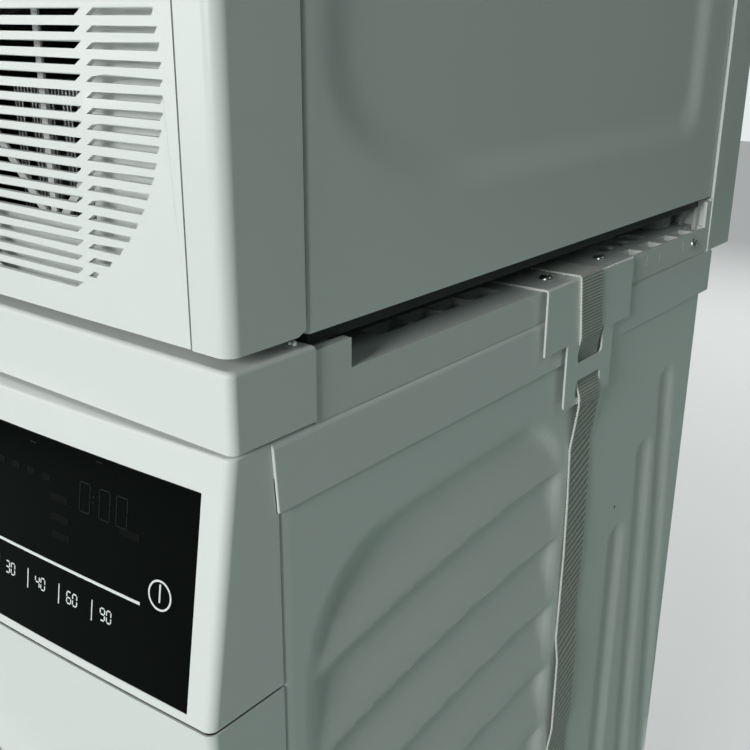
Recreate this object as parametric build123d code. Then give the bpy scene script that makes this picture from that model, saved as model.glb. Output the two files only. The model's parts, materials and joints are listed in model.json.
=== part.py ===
from build123d import *
import math
import os

# Washer, stacking kit and tumble dryer standing one on the other.
# Millimetres. +Z is up, the fronts face -Y, the floor is Z = 0 and X = 0 is the middle.

os.makedirs("parts", exist_ok=True)

# ---------------------------------------------------------------- driving dimensions
HALF = 300.0  # half the 600 mm width that all three units share
SHEET = 1.2  # painted steel skins
WALL = 3.0  # moulded plastic walls
RUN = 0.05  # radial clearance of a shaft in its bore
GAP = 1.0  # gap round a drawer or flap

# washer
FLOOR_GAP = 15.0
WASHER_TOP = 850.0
SKIRT_BOTTOM = 810.0
SLAB_BOTTOM = 830.0
WORKTOP_REAR = 315.0
SEAM_Y = -268.5  # where the front wraps back to the side panel
WORKTOP_FRONT = -273.0
SKIRT_LEAN = 0.08  # rearward run of the worktop's front end for each millimetre down
PANEL_REAR = 300.0
WASHER_BACK = PANEL_REAR - SHEET  # rear face of the rear skin, inside the side panels' edges
PANEL_X = 298.0  # outer face of the washer's side panel
WASHER_HALF = 298.5  # the washer's front is a little narrower than its worktop
FRONT_CORNER = 6.0
BOW = 11.0  # how far the middle of the front stands proud of its corners
LEAN = 0.156  # forward run of the fascia for each millimetre down
FASCIA_BOTTOM = 705.0
FASCIA_FOOT_Y = -HALF - LEAN * (WASHER_TOP - FASCIA_BOTTOM)
FRONT_TOP = FASCIA_BOTTOM - 2.0
WASHER_FRONT = (WASHER_HALF, FASCIA_FOOT_Y, SEAM_Y, BOW, FRONT_CORNER)

# round doors, both machines
RECESS_R = 200.0
DOOR_R = 197.0
DOOR_INNER_R = 150.0
HINGE_X = 211.0
HINGE_HALF = 60.0
HOOK_X = 189.0
EDGE = 8.0  # width of the side panels' turned-in edges
HINGE_PIN_R = 5.0
WASHER_AXIS_Z = 430.0
WASHER_RECESS_Y = -318.0
WASHER_HINGE_Y = -345.0
DRYER_AXIS_Z = 1330.0
DRYER_RECESS_Y = -290.0
DRYER_HINGE_Y = -313.0

# stacking kit
RAIL_TOP = WASHER_TOP + 23.0
DECK_TOP = WASHER_TOP + 19.0
SHELF_TOP = WASHER_TOP + 44.0
RAIL_X = 222.0
SHELF_BAR_REAR = -240.0
POST_REAR = -210.0
RAIL_SET_BACK = 1.5  # the rail's front part sits inside the bar's end
STRAP_Y = 66.0
STRAP_W = 35.0
STRAP_T = 2.0
BRACKET_X = 302.5
BRACKET_T = 1.6
STOP_REAR = 352.0

# dryer
DRYER_PANEL_X = 299.0
DRYER_EDGE = 891.0
DRYER_FLOOR = 896.0
DRYER_BOTTOM = 900.0
DRYER_TOP = 1725.0
DRYER_LID = 1700.0
DRYER_SEAM_Y = -247.0
DRYER_REAR = 298.0
DRYER_BACK = DRYER_REAR - SHEET
DRYER_FASCIA = 1590.0
DRYER_FRONT = (HALF, -HALF, DRYER_SEAM_Y, 0, 8.0)
GRILLE_X = 153.0
GRILLE_Z = 1025.3
GRILLE_R = 113.5
FLAP_HALF = 122.0
FLAP_TOP = 1140.0
DRYER_LAND_R = RECESS_R + 2.5  # the flap's notch keeps this far from the door's axis


# ---------------------------------------------------------------- small helpers
def block(x0, x1, y0, y1, z0, z1):
    """Box between two corners."""
    middle = ((x0 + x1) / 2, (y0 + y1) / 2, (z0 + z1) / 2)
    return Pos(*middle) * Box(abs(x1 - x0), abs(y1 - y0), abs(z1 - z0))


def rod_x(radius, x0, x1, y, z):
    return Pos((x0 + x1) / 2, y, z) * Rot(0, 90, 0) * Cylinder(radius, x1 - x0)


def rod_y(radius, y0, y1, x, z):
    return Pos(x, (y0 + y1) / 2, z) * Rot(90, 0, 0) * Cylinder(radius, y1 - y0)


def rod_z(radius, z0, z1, x, y):
    return Pos(x, y, (z0 + z1) / 2) * Cylinder(radius, z1 - z0)


def turned_y(profile, x, z):
    """Solid turned about a Y axis through (x, z) from points (radius, y)."""
    face = make_face(Polyline(*profile, close=True))
    return Pos(x, 0, z) * revolve(face, Axis.Y, 360)


def turned_z(profile, x, y):
    """Solid turned about a vertical axis through (x, y) from points (radius, z)."""
    face = make_face(Polyline(*[(r, 0, z) for r, z in profile], close=True))
    return Pos(x, y, 0) * revolve(face, Axis.Z, 360)


def prism_x(points):
    """Bar across the whole width from points (y, z)."""
    return extrude(Plane.YZ * make_face(Polyline(*points, close=True)), HALF + 1, both=True)


def both_sides(shape):
    """The shape and its mirror image on the other side of the machine."""
    return [shape, mirror(shape, Plane.YZ)]


def save(name, *shapes):
    solids = [solid for shape in shapes for solid in shape.solids()]
    export_step(Compound(solids), f"parts/{name}.step")


def front_plan(half, front, back, bow, corner):
    """Plan of a cabinet front: bowed face, rounded corners, straight returns."""
    if bow:
        face = ThreePointArc((-half, front), (0, front - bow), (half, front))
    else:
        face = Line((-half, front), (half, front))
    sides = Polyline((half, front), (half, back), (-half, back), (-half, front))
    outline = make_face([face, *sides.edges()])
    return fillet(outline.vertices().sort_by(Axis.Y)[:2], corner)


def front_block(inset, z0, z1, size):
    """Solid that fills a cabinet front, drawn in from its skin by inset and then past its open back."""
    half, front, back, bow, corner = size
    back += 1 if inset else 0
    plan = front_plan(half - inset, front + inset, back, bow, corner - inset)
    return extrude(Pos(0, 0, z0) * plan, z1 - z0)


def front_shell(skin, z0, z1, size):
    return front_block(0, z0, z1, size) - front_block(skin, z0 - 1, z1 + 1, size)


def leaning_block(inset):
    """Solid behind the washer's leaning fascia, drawn in from its skin by inset."""
    rise = WASHER_TOP - FASCIA_BOTTOM
    back = SEAM_Y + 2 * HALF
    plan = front_plan(WASHER_HALF - inset, FASCIA_FOOT_Y + inset, back, BOW, FRONT_CORNER - inset)
    return Solid.extrude((Pos(0, 0, FASCIA_BOTTOM) * plan).face(), Vector(0, LEAN * rise, rise))


def pocket(plane_x, y, z, length, height, depth, side):
    """Pressed pocket with round ends and sloping walls, running inward from a side panel."""
    plane = Plane(origin=(side * plane_x, y, z), x_dir=(0, 1, 0), z_dir=(-side, 0, 0))
    outline = SlotOverall(length, height) if length > height else SlotOverall(height, length, 90)
    return extrude(plane * outline, depth, taper=30)


def pressed_panel(outer_x, y0, y1, z0, z1, flange, pockets, side):
    """Side panel of thin sheet with turned-in front and rear edges and pressed pockets."""
    inner_x = outer_x - SHEET
    sheet = block(side * inner_x, side * outer_x, y0, y1, z0, z1)
    for edge in (y0, y1 - SHEET):
        sheet += block(side * (outer_x - flange), side * inner_x, edge, edge + SHEET, z0, z1)
    for y, z, length, height, depth in pockets:
        sheet += pocket(outer_x, y, z, length + 2 * SHEET, height + 2 * SHEET, depth + SHEET, side)
    for y, z, length, height, depth in pockets:
        sheet -= pocket(outer_x, y, z, length, height, depth, side)
    return sheet


# ---------------------------------------------------------------- washer cabinet
WASHER_FEET = [(x, y) for x in (-240, 240) for y in (-225, 250)]
DAMPERS = [(x, y) for x in (-200, 200) for y in (-60, 120)]
DAMPER_R = 11.0
TOWER_TOP = 60.0
STUD_R = 5.0
SPRING_X = 262.0
SPRING_LUG_TOP = 615.0
SPRING_SHELF = 800.0


def washer_base():
    """Moulded floor pan with rims, damper towers and holes for the levelling feet."""
    outer = block(-PANEL_X + SHEET, PANEL_X - SHEET, -266, WASHER_BACK - 1, FLOOR_GAP, TOWER_TOP)
    hollow = block(-292, 292, -263, 292, FLOOR_GAP + WALL, TOWER_TOP + 1)
    base = outer - hollow - block(FILTER_X - 40, FILTER_X + 40, -270, -262, 40, TOWER_TOP + 1)
    for x, y in DAMPERS:
        base += block(x - 15, x + 15, y - 15, y + 15, FLOOR_GAP + 1, TOWER_TOP)
    for x, y in WASHER_FEET:
        base -= rod_z(STUD_R + 0.2, FLOOR_GAP - 1, FLOOR_GAP + WALL + 1, x, y)
    return base


def washer_feet():
    """Four levelling feet: rubber-faced disc, lock nut and threaded stud."""
    profile = [(0, 0), (19, 0), (21, 3), (21, 8), (9, 12), (9, FLOOR_GAP)]
    profile += [(STUD_R, FLOOR_GAP), (STUD_R, 30), (0, 30)]
    return [turned_z(profile, x, y) for x, y in WASHER_FEET]


SCOOP_PITCH = 59.0
SCOOPS = [(-73, 748.5 - SCOOP_PITCH * i, 234, 52, 6) for i in range(11)]
TROUGH = (-205, 452.5, 80, 646, 6)  # upright pressing that the scoops run into
GROOVES = [(240, 430, 24, 650, 5), (203, 430, 24, 545, 5), (163, 430, 24, 430, 5)]


def washer_side_panels():
    """Left and right skins with horizontal scoops, rear grooves and a shelf for the tub springs."""
    shelf = block(250, PANEL_X - SHEET, -20, 20, SPRING_SHELF, SPRING_SHELF + WALL)
    pressings = SCOOPS + GROOVES + [TROUGH]
    right = pressed_panel(PANEL_X, SEAM_Y + 1, PANEL_REAR, FLOOR_GAP, 812, EDGE, pressings, 1)
    return both_sides(right + shelf)


INLET = (235.0, 782.0)
DRAIN = (250.0, 80.0)
WASHER_GLAND = (-220.0, 775.0)
INLET_R = 13.2
DRAIN_R = 9.0
DRAIN_STUB_R = 10.5
GLAND_R = 4.0


def washer_rear_panel():
    """Rear skin with a raised cover over the drive belt, service holes and a cable gland."""
    cover_r, cover_depth, skin = 190.0, 14.0, 1.0
    front = WASHER_BACK - skin
    rear = block(-296, 296, front, WASHER_BACK, FLOOR_GAP + 1, 809)
    hat = rod_y(cover_r, front, front + cover_depth, 0, WASHER_AXIS_Z)
    rear += chamfer(hat.edges().sort_by(Axis.Y)[-1], 8)
    inside = rod_y(cover_r - skin, front - 1, front + cover_depth - skin, 0, WASHER_AXIS_Z)
    rear -= chamfer(inside.edges().sort_by(Axis.Y)[-1], 8)
    rear += rod_y(11, front, 311, *WASHER_GLAND)
    for radius, place in ((INLET_R + 2, INLET), (DRAIN_STUB_R + 1, DRAIN), (GLAND_R, WASHER_GLAND)):
        rear -= rod_y(radius, 290, 320, *place)
    return rear


FLAP_X0, FLAP_X1 = 120.0, 220.0
FLAP_Z0, FLAP_Z1 = 35.0, 133.0
FILTER_AXLE = (-324.5, 41.0)
FILTER_AXLE_R = 1.5
FILTER_X, FILTER_Z = 170.0, 80.0


def door_recess(panel, fill, recess_y, hole_r, axis_z, side):
    """Adds the dished seat of a round door, its opening, hinge slots and latch slot."""
    cup = rod_y(RECESS_R + SHEET, -400, recess_y + SHEET, 0, axis_z) & fill
    panel = panel + cup - rod_y(RECESS_R, -400, recess_y, 0, axis_z)
    panel -= rod_y(hole_r, -400, -200, 0, axis_z)
    for z in (axis_z - HINGE_HALF + 7.5, axis_z + HINGE_HALF - 7.5):
        panel -= block(side * (HINGE_X - 8), side * (HINGE_X + 8), -400, -250, z - 8, z + 8)
    return panel - block(-side * (HOOK_X - 6), -side * (HOOK_X + 8), -400, -250, axis_z - 14, axis_z + 14)


def washer_front_panel():
    """Bowed front skin that wraps both corners, with the door seat and the filter opening."""
    size = (FLOOR_GAP + 1, FRONT_TOP, WASHER_FRONT)
    fill = front_block(0, *size)
    panel = door_recess(front_shell(SHEET, *size), fill, WASHER_RECESS_Y, 160, WASHER_AXIS_Z, -1)
    axle_y, axle_z = FILTER_AXLE
    for x0, x1 in ((FLAP_X0 - 6, FLAP_X0 - 1.5), (FLAP_X1 + 1.5, FLAP_X1 + 6)):
        socket = block(x0, x1, -340, axle_y + 4, axle_z - 3, axle_z + 6) & fill
        panel += socket - rod_x(FILTER_AXLE_R + RUN, x0 - 1, x1 + 1, axle_y, axle_z)
    opening = block(FLAP_X0 - 1.5, FLAP_X1 + 1.5, -340, -300, FLAP_Z0 - 2.4, FLAP_Z1 + 1.5)
    return panel - opening


def filter_flap():
    """Bowed flap over the drain filter with an axle along its lower edge."""
    size = (FLAP_Z0, FLAP_Z1, WASHER_FRONT)
    flap = front_shell(2.0, *size) & block(FLAP_X0, FLAP_X1, -340, -310, FLAP_Z0, FLAP_Z1)
    axle_y, axle_z = FILTER_AXLE
    fill = front_block(0, *size)
    for x in (FLAP_X0, FLAP_X1 - 5):
        flap += block(x, x + 5, -340, axle_y + 2.5, axle_z - 2.5, axle_z + 5) & fill
    return flap + rod_x(FILTER_AXLE_R, FLAP_X0 - 5, FLAP_X1 + 5, axle_y, axle_z)


def washer_worktop():
    """Top plate with a skirt that hangs over the side panels and leans at its front end."""
    foot_y = WORKTOP_FRONT + SKIRT_LEAN * (WASHER_TOP - SKIRT_BOTTOM)
    top = block(-HALF, HALF, WORKTOP_FRONT, WORKTOP_REAR, SKIRT_BOTTOM, WASHER_TOP)
    top -= prism_x([(WORKTOP_FRONT, WASHER_TOP), (foot_y, SKIRT_BOTTOM), (WORKTOP_FRONT, SKIRT_BOTTOM)])
    upper = top.edges().filter_by(Axis.Y).sort_by(Axis.Z)[-2:]
    top = fillet(upper, 4)
    return top - block(-HALF + 1.8, HALF - 1.8, -280, WORKTOP_REAR - 2, SKIRT_BOTTOM - 1, SLAB_BOTTOM)


# ---------------------------------------------------------------- washer fascia
DRAWER_X0, DRAWER_X1 = -285.0, -110.0
DRAWER_Z0, DRAWER_Z1 = 722.0, 826.0
DISPLAY_X0, DISPLAY_X1 = 48.0, 281.0
DISPLAY_Z0, DISPLAY_Z1 = 710.0, 829.5
DISPLAY_T = 1.5
KNOB_Z = 775.0
KNOB_R = 33.0
KNOB_SHAFT_R = 3.0


def skin_y(x, z):
    """Front face of the leaning fascia at (x, z)."""
    return -HALF - LEAN * (WASHER_TOP - z) - BOW * (1 - (x / HALF) ** 2)


def washer_knob_plane(lift):
    """Plane square to the leaning fascia, lift millimetres in front of it."""
    normal = Vector(0, -1, LEAN).normalized()
    origin = Vector(0, skin_y(0, KNOB_Z), KNOB_Z) + normal * lift
    return Plane(origin=origin, x_dir=(1, 0, 0), z_dir=normal)


def disc_on(plane, radius, height):
    return extrude(plane * Circle(radius), height)


def washer_fascia():
    """Leaning control panel with the openings for drawer, display and programme knob."""
    fascia = leaning_block(0) - leaning_block(WALL)
    fascia += leaning_block(0) & block(-HALF, HALF, -340, 0, WASHER_TOP - WALL, WASHER_TOP)
    fascia &= block(-HALF, HALF, -400, SEAM_Y, FASCIA_BOTTOM, WASHER_TOP)
    fascia -= block(-WASHER_HALF + WALL, WASHER_HALF - WALL, -274, 0, FASCIA_BOTTOM, WASHER_TOP)
    behind = [(WORKTOP_FRONT - 0.3, WASHER_TOP), (WORKTOP_FRONT + 2.9, SKIRT_BOTTOM), (-260, SKIRT_BOTTOM)]
    fascia -= prism_x([*behind, (-260, WASHER_TOP)])
    fascia -= block(DRAWER_X0 - GAP, DRAWER_X1 + GAP, -400, -280, DRAWER_Z0 - GAP, DRAWER_Z1 + GAP)
    fascia -= washer_display()
    encoder = disc_on(washer_knob_plane(-15), 9, 14)
    return fascia + encoder - disc_on(washer_knob_plane(-12), KNOB_SHAFT_R + RUN, 20)


def washer_display():
    """Black glass let into the fascia."""
    window = block(DISPLAY_X0, DISPLAY_X1, -400, -280, DISPLAY_Z0, DISPLAY_Z1)
    return (leaning_block(0) - leaning_block(DISPLAY_T)) & window


def knob(plane, radius, height, pointer):
    """Turned programme knob with a finger rim, pointer ridge and stub shaft."""
    body = extrude(plane * Circle(radius), height, taper=4)
    rims = body.edges().filter_by(GeomType.CIRCLE).sort_by(SortBy.RADIUS)
    body = fillet(rims[0], 2)
    ridge = extrude(plane.offset(height) * Pos(0, radius * 0.55) * Rectangle(pointer, radius * 0.5), 1.2)
    return body + ridge + extrude(plane.offset(-10) * Circle(KNOB_SHAFT_R), 10.5)


def washer_knob():
    return knob(washer_knob_plane(0.6), KNOB_R, 22, 3)


def detergent_drawer():
    """Drawer with three compartments behind a front that follows the fascia."""
    outline = block(DRAWER_X0, DRAWER_X1, -400, -280, DRAWER_Z0, DRAWER_Z1)
    front = (leaning_block(0) - leaning_block(WALL)) & outline
    body = block(-278, -117, -400, -40, 733, 800) & leaning_block(WALL - 0.5)
    liner = block(-243, -152, -400, -303, 722, 751) & leaning_block(0)
    drawer = front + body + liner
    for x0, x1 in ((-276, -216), (-214, -166), (-164, -119)):
        drawer -= block(x0, x1, -296, -42, 736, 801)
    return drawer - block(-240, -155, -400, -306, 725, 748)


def dispenser_housing():
    """Open-fronted box behind the fascia that the drawer slides in."""
    outer = block(-289, -106, -400, -34, 718, 829.5) & leaning_block(WALL)
    return outer - block(DRAWER_X0 - GAP, DRAWER_X1 + GAP, -400, -37, DRAWER_Z0 - GAP, DRAWER_Z1)


# ---------------------------------------------------------------- round doors
def door_ring(front_y, back_y, axis_z, hinge_y, side):
    """Door rim with a grip recess, latch hook and two hinge knuckles."""
    profile = [
        (DOOR_INNER_R, back_y),
        (DOOR_R, back_y),
        (DOOR_R, front_y + 12),
        (DOOR_R - 5, front_y + 3),
        (DOOR_R - 14, front_y),
        (DOOR_INNER_R + 16, front_y),
        (DOOR_INNER_R, front_y + 8),
    ]
    ring = turned_y(profile, 0, axis_z)
    ring -= block(-side * 160, -side * 188, front_y - 1, front_y + 15, axis_z - 38, axis_z + 38)
    hook = block(HOOK_X - 3, HOOK_X + 3, back_y - 1, back_y + 22, axis_z - 8, axis_z + 8)
    ring += hook if side < 0 else mirror(hook, Plane.YZ)
    for z in (axis_z - 35, axis_z + 35):
        lug = block(side * 180, side * HINGE_X, hinge_y - 7, hinge_y + 7, z - 9, z + 9)
        lug += rod_z(7, z - 9, z + 9, side * HINGE_X, hinge_y)
        ring += lug - rod_z(HINGE_PIN_R + RUN, z - 10, z + 10, side * HINGE_X, hinge_y)
    return ring


def door_hinge(recess_y, axis_z, hinge_y, side):
    """Hinge with two arms through the front skin, a backing bar and the door's pin."""
    x = side * HINGE_X
    arms = block(x - 7, x + 7, recess_y + 5, recess_y + 10, axis_z - HINGE_HALF, axis_z + HINGE_HALF)
    for z in (axis_z - HINGE_HALF, axis_z + HINGE_HALF - 15):
        arms += block(x - 7, x + 7, hinge_y, recess_y + 6, z, z + 15)
        arms += rod_z(7, z, z + 15, x, hinge_y)
    return arms + rod_z(HINGE_PIN_R, axis_z - HINGE_HALF + 1, axis_z + HINGE_HALF - 1, x, hinge_y)


def door_glass(front_y, depth, rim_r, base_r, axis_z):
    """Glass bowl with a flat outer pane over it."""
    thick = 4.0
    back = front_y + depth
    bowl = [
        (0, back),
        (base_r - 14, back),
        (base_r, back - 12),
        (rim_r, front_y + 14),
        (DOOR_INNER_R, front_y + 14),
        (DOOR_INNER_R, front_y + 10),
        (rim_r - thick, front_y + 10),
        (base_r - thick, back - 12 - thick),
        (base_r - 14 - thick, back - thick),
        (0, back - thick),
    ]
    return turned_y(bowl, 0, axis_z), rod_y(DOOR_INNER_R, front_y + 6, front_y + 9, 0, axis_z)


# ---------------------------------------------------------------- washer drum and drive
TUB_R = 266.0
TUB_IN = 260.0
DRUM_R = 245.0
DRUM_IN = 244.0
SHAFT_R = 12.5
PULLEY_R = 150.0
MOTOR_X, MOTOR_Z = 95.0, 105.0
MOTOR_PULLEY_R = 11.0
MOTOR_SHAFT_R = 8.0


def door_gasket():
    """Rubber bellows between the front opening and the tub."""
    lip = [(154, -318.5), (160, -318.5), (160, -316.8), (168, -316.8), (168, -311), (160, -311)]
    fold = [(166, -295), (160, -280), (166, -270), (171, -262), (171, -247), (166, -247), (166, -262.2)]
    inner = [(160, -266), (156, -280), (161, -295), (154, -306)]
    return turned_y(lip + fold + inner, 0, WASHER_AXIS_Z)


def washer_tub():
    """Plastic tub with front collar, bearing hub, spring lugs and damper lugs."""
    profile = [
        (162, -262),
        (166, -262),
        (166, -245),
        (TUB_R, -245),
        (TUB_R, 205),
        (45, 205),
        (45, 226),
        (SHAFT_R + RUN, 226),
        (SHAFT_R + RUN, 196),
        (TUB_IN, 196),
        (TUB_IN, -241),
        (162, -241),
    ]
    tub = turned_y(profile, 0, WASHER_AXIS_Z)
    core = rod_y(TUB_IN + 1, -240, 195, 0, WASHER_AXIS_Z)
    lugs = both_sides(block(196, 280, -15, 15, SPRING_LUG_TOP - 12, SPRING_LUG_TOP))
    lugs += [block(x - 15, x + 15, y - 12, y + 12, 225, 246) for x, y in DAMPERS]
    for lug in lugs:
        tub += lug - core
    return tub


def washer_drum():
    """Steel drum with a rolled front edge and its shaft."""
    profile = [
        (168, -237),
        (DRUM_R - 6, -237),
        (DRUM_R, -231),
        (DRUM_R, 184),
        (40, 184),
        (SHAFT_R, 190),
        (SHAFT_R, 247),
        (0, 247),
        (0, 180),
        (DRUM_IN, 180),
        (DRUM_IN, -231),
        (DRUM_IN - 6, -236),
        (168, -236),
    ]
    return turned_y(profile, 0, WASHER_AXIS_Z)


def lifters(inner_r, width, height, y0, y1, axis_z):
    """Three paddles that stand on the inside of a drum."""
    top = inner_r - height
    foot = -inner_r - 2
    outline = Polyline((-width / 2, 0, foot), (width / 2, 0, foot), (8, 0, -top), (-8, 0, -top), close=True)
    bar = Pos(0, y0, 0) * Solid.extrude(make_face(outline).face(), Vector(0, y1 - y0, 0))
    bore = rod_y(inner_r, y0 - 5, y1 + 5, 0, 0)
    paddle = bar & bore
    return [Pos(0, 0, axis_z) * Rot(0, angle, 0) * paddle for angle in (0, 120, 240)]


def drum_pulley():
    """Cast belt pulley with six spokes."""
    rim = turned_y([(136, 228), (PULLEY_R, 228), (PULLEY_R, 246), (136, 246)], 0, WASHER_AXIS_Z)
    hub = turned_y([(SHAFT_R, 228), (30, 228), (30, 246), (SHAFT_R, 246)], 0, WASHER_AXIS_Z)
    pulley = rim + hub
    for step in range(6):
        spoke = block(-7, 7, 232, 242, 28, 138)
        pulley += Pos(0, 0, WASHER_AXIS_Z) * Rot(0, 60 * step, 0) * spoke
    return pulley


def belt(y0, y1, big, small, thick):
    """Flat belt round two pulleys; big and small are (x, z, radius)."""
    loops = []
    for grow in (0.3 + thick, 0.3):
        rims = [Pos(x, z) * Circle(radius + grow) for x, z, radius in (big, small)]
        hull = make_hull([edge for rim in rims for edge in rim.edges()])
        loops.append(hull)
    flat = loops[0] - loops[1]
    return Pos(0, y1, 0) * Rot(90, 0, 0) * extrude(flat, y1 - y0)


def washer_belt():
    return belt(231, 243, (0, WASHER_AXIS_Z, PULLEY_R), (MOTOR_X, MOTOR_Z, MOTOR_PULLEY_R), 3)


def washer_motor():
    """Drive motor slung under the tub on two feet."""
    bore = MOTOR_SHAFT_R + RUN
    profile = [(0, 30), (34, 30), (50, 42), (50, 178), (34, 190), (bore, 190), (bore, 150), (0, 150)]
    motor = turned_y(profile, MOTOR_X, MOTOR_Z)
    for y in (50, 150):
        foot = block(MOTOR_X - 15, MOTOR_X + 15, y, y + 20, MOTOR_Z + 40, 192)
        motor += foot - rod_y(TUB_R, 0, 220, 0, WASHER_AXIS_Z)
    return motor


def motor_pulley():
    """Motor shaft and its small belt pulley."""
    shaft = rod_y(MOTOR_SHAFT_R, 152, 229, MOTOR_X, MOTOR_Z)
    return shaft + rod_y(MOTOR_PULLEY_R, 228, 246, MOTOR_X, MOTOR_Z)


def counterweights():
    """Concrete block on top of the tub and a half ring on its front."""
    tub = rod_y(TUB_R, -300, 300, 0, WASHER_AXIS_Z)
    top = block(-90, 150, -150, 60, 640, 765) - tub
    ring = turned_y([(180, -285), (256, -285), (256, -245), (180, -245)], 0, WASHER_AXIS_Z)
    return top, ring & block(-260, 260, -290, -240, 160, 400)


def tub_suspension():
    """Two springs that carry the tub and four friction dampers under it."""
    coils = 14
    pitch = (SPRING_SHELF - SPRING_LUG_TOP - 30) / coils
    spring = [(0, SPRING_LUG_TOP), (4, SPRING_LUG_TOP), (4, SPRING_LUG_TOP + 15)]
    for i in range(coils):
        z = SPRING_LUG_TOP + 15 + i * pitch
        spring += [(9, z + 0.2 * pitch), (9, z + 0.6 * pitch), (6.5, z + 0.8 * pitch)]
    spring += [(4, SPRING_SHELF - 15), (4, SPRING_SHELF), (0, SPRING_SHELF)]
    damper = [(0, TOWER_TOP), (DAMPER_R, TOWER_TOP), (DAMPER_R, 150), (6, 156), (6, 210)]
    damper += [(9, 212), (9, 225), (0, 225)]
    springs = both_sides(turned_z(spring, SPRING_X, 0))
    return springs + [turned_z(damper, x, y) for x, y in DAMPERS]


CAP_PLUG_R = 24.0


def drain_pump():
    """Drain pump with filter chamber, stand and outlet pipe to the rear."""
    pump = rod_y(36, -286, -150, FILTER_X, FILTER_Z) + rod_y(28, -151, -80, FILTER_X, FILTER_Z)
    pump += block(FILTER_X - 20, FILTER_X + 20, -240, -170, FLOOR_GAP + WALL, FILTER_Z)
    pump += rod_x(DRAIN_R, FILTER_X, DRAIN[0], -190, DRAIN[1])
    pump += rod_y(DRAIN_R, -190 - DRAIN_R, 300, *DRAIN) + rod_y(DRAIN_STUB_R, 299.5, 322, *DRAIN)
    return pump - rod_y(CAP_PLUG_R + RUN, -290, -215, FILTER_X, FILTER_Z)


def pump_filter_cap():
    """Screw cap of the drain filter with a grip bar."""
    profile = [
        (0, -296),
        (31, -296),
        (33, -294),
        (33, -286.3),
        (CAP_PLUG_R, -286.3),
        (CAP_PLUG_R, -240),
        (0, -240),
    ]
    cap = turned_y(profile, FILTER_X, FILTER_Z)
    return cap + block(FILTER_X - 27, FILTER_X + 27, -308, -295, FILTER_Z - 4, FILTER_Z + 4)


def inlet_valve():
    """Solenoid inlet valve whose threaded stub leaves through the rear panel."""
    x, z = INLET
    valve = block(x - 20, x + 20, 262, WASHER_BACK - 1, z - 18, z + 18)
    valve += rod_y(INLET_R, 297, 322, x, z)
    return valve + rod_z(12, z - 50, z - 17, x, 278)


# ---------------------------------------------------------------- stacking kit
DRYER_FEET = [(x, y) for x in (-253, 253) for y in (-212, 262)]
FRONT_POCKETS = [-139.5, -105, -70.5, -36]
OUTER_NOTCHES = [150, 188, 222, 253, 283]
INNER_NOTCHES = [150, 178, 206]
BRACKET_Y = (-5.0, 131.0)
SIDE_TICKS = [(165, 13), (190, 12), (240, 13)]
SHELF_HALF = 216.0
SCREW_X = 285.0
SCREW_YS = (STRAP_Y - 42, STRAP_Y + 42)
SIDE_SCREW = (265.0, WASHER_TOP + 12)


def kit_rail():
    """Right rail: flat deck with pockets and notches, lower inner ledge, front post and ribbed rear stop."""
    rail = block(RAIL_X, HALF, SHELF_BAR_REAR + 0.5, 300, WASHER_TOP, RAIL_TOP)
    rail += block(292, HALF, SHELF_BAR_REAR + 0.5, POST_REAR, WASHER_TOP, WASHER_TOP + 40)
    side, covered = HALF - RAIL_SET_BACK, BRACKET_Y[0] + 15
    rail -= block(side, HALF + 1, SHELF_BAR_REAR, covered, WASHER_TOP - 1, WASHER_TOP + 41)
    rail -= block(RAIL_X - 1, 252, -241, 301, DECK_TOP, RAIL_TOP + 1)
    rows = ((259, 274, 15, FRONT_POCKETS), (286, 298.2, 10, OUTER_NOTCHES), (258, 275, 10, INNER_NOTCHES))
    for x0, x1, reach, places in rows:
        for y in places:
            rail -= block(x0, x1, y - reach, y + reach, WASHER_TOP + 6, RAIL_TOP + 1)
    for y, rise in SIDE_TICKS:
        rail -= block(HALF - 1.5, HALF + 1, y - 0.8, y + 0.8, WASHER_TOP + rise - 4, WASHER_TOP + rise + 5)
    for x, y in DRYER_FEET[2:]:  # the two right feet
        rail += rod_z(26, DECK_TOP - 1, RAIL_TOP, x, y)
    rail += block(252, HALF, 297, 300, WASHER_TOP, WASHER_TOP + 48)
    for x in (262, 275, 288, HALF - 3):
        rail += block(x, x + 3, 289, 298, WASHER_TOP, WASHER_TOP + 46)
    for y in SCREW_YS:
        rail -= rod_z(2, WASHER_TOP + 8, RAIL_TOP + 1, SCREW_X, y)
    return rail - rod_x(2, HALF - 12, HALF + 1, *SIDE_SCREW)


def kit_frame():
    """Stacking frame: two rails, a thin floor between them and a rear cross member."""
    frame = kit_rail()
    frame += mirror(frame, Plane.YZ)
    frame += block(-RAIL_X - 1, RAIL_X + 1, SHELF_BAR_REAR + 0.5, 300, WASHER_TOP, WASHER_TOP + 2)
    cross = block(-RAIL_X - 1, RAIL_X + 1, 200, 300, WASHER_TOP, DECK_TOP)
    for i in range(6):
        x = -205 + 70 * i
        cross -= block(x, x + 60, 206, 294, WASHER_TOP + 4, DECK_TOP + 1)
    return frame + cross


def kit_shelf():
    """Pull-out shelf: full-width rounded front bar and a board with raised rims."""
    bar = block(-HALF, HALF, -HALF, SHELF_BAR_REAR, WASHER_TOP + 2, SHELF_TOP)
    bar = fillet(bar.edges().filter_by(Axis.Z).sort_by(Axis.Y)[:2], 5)
    bar = fillet(bar.edges().group_by(Axis.Z)[-1], 3)
    bar -= block(-280, 280, -294, SHELF_BAR_REAR + 1, WASHER_TOP, SHELF_TOP - 4)
    board = block(-SHELF_HALF, SHELF_HALF, -295, 190, WASHER_TOP + 2.5, WASHER_TOP + 18)
    board -= block(-SHELF_HALF + 4, SHELF_HALF - 4, -235, 186, WASHER_TOP + 7, WASHER_TOP + 19)
    return bar + board


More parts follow.
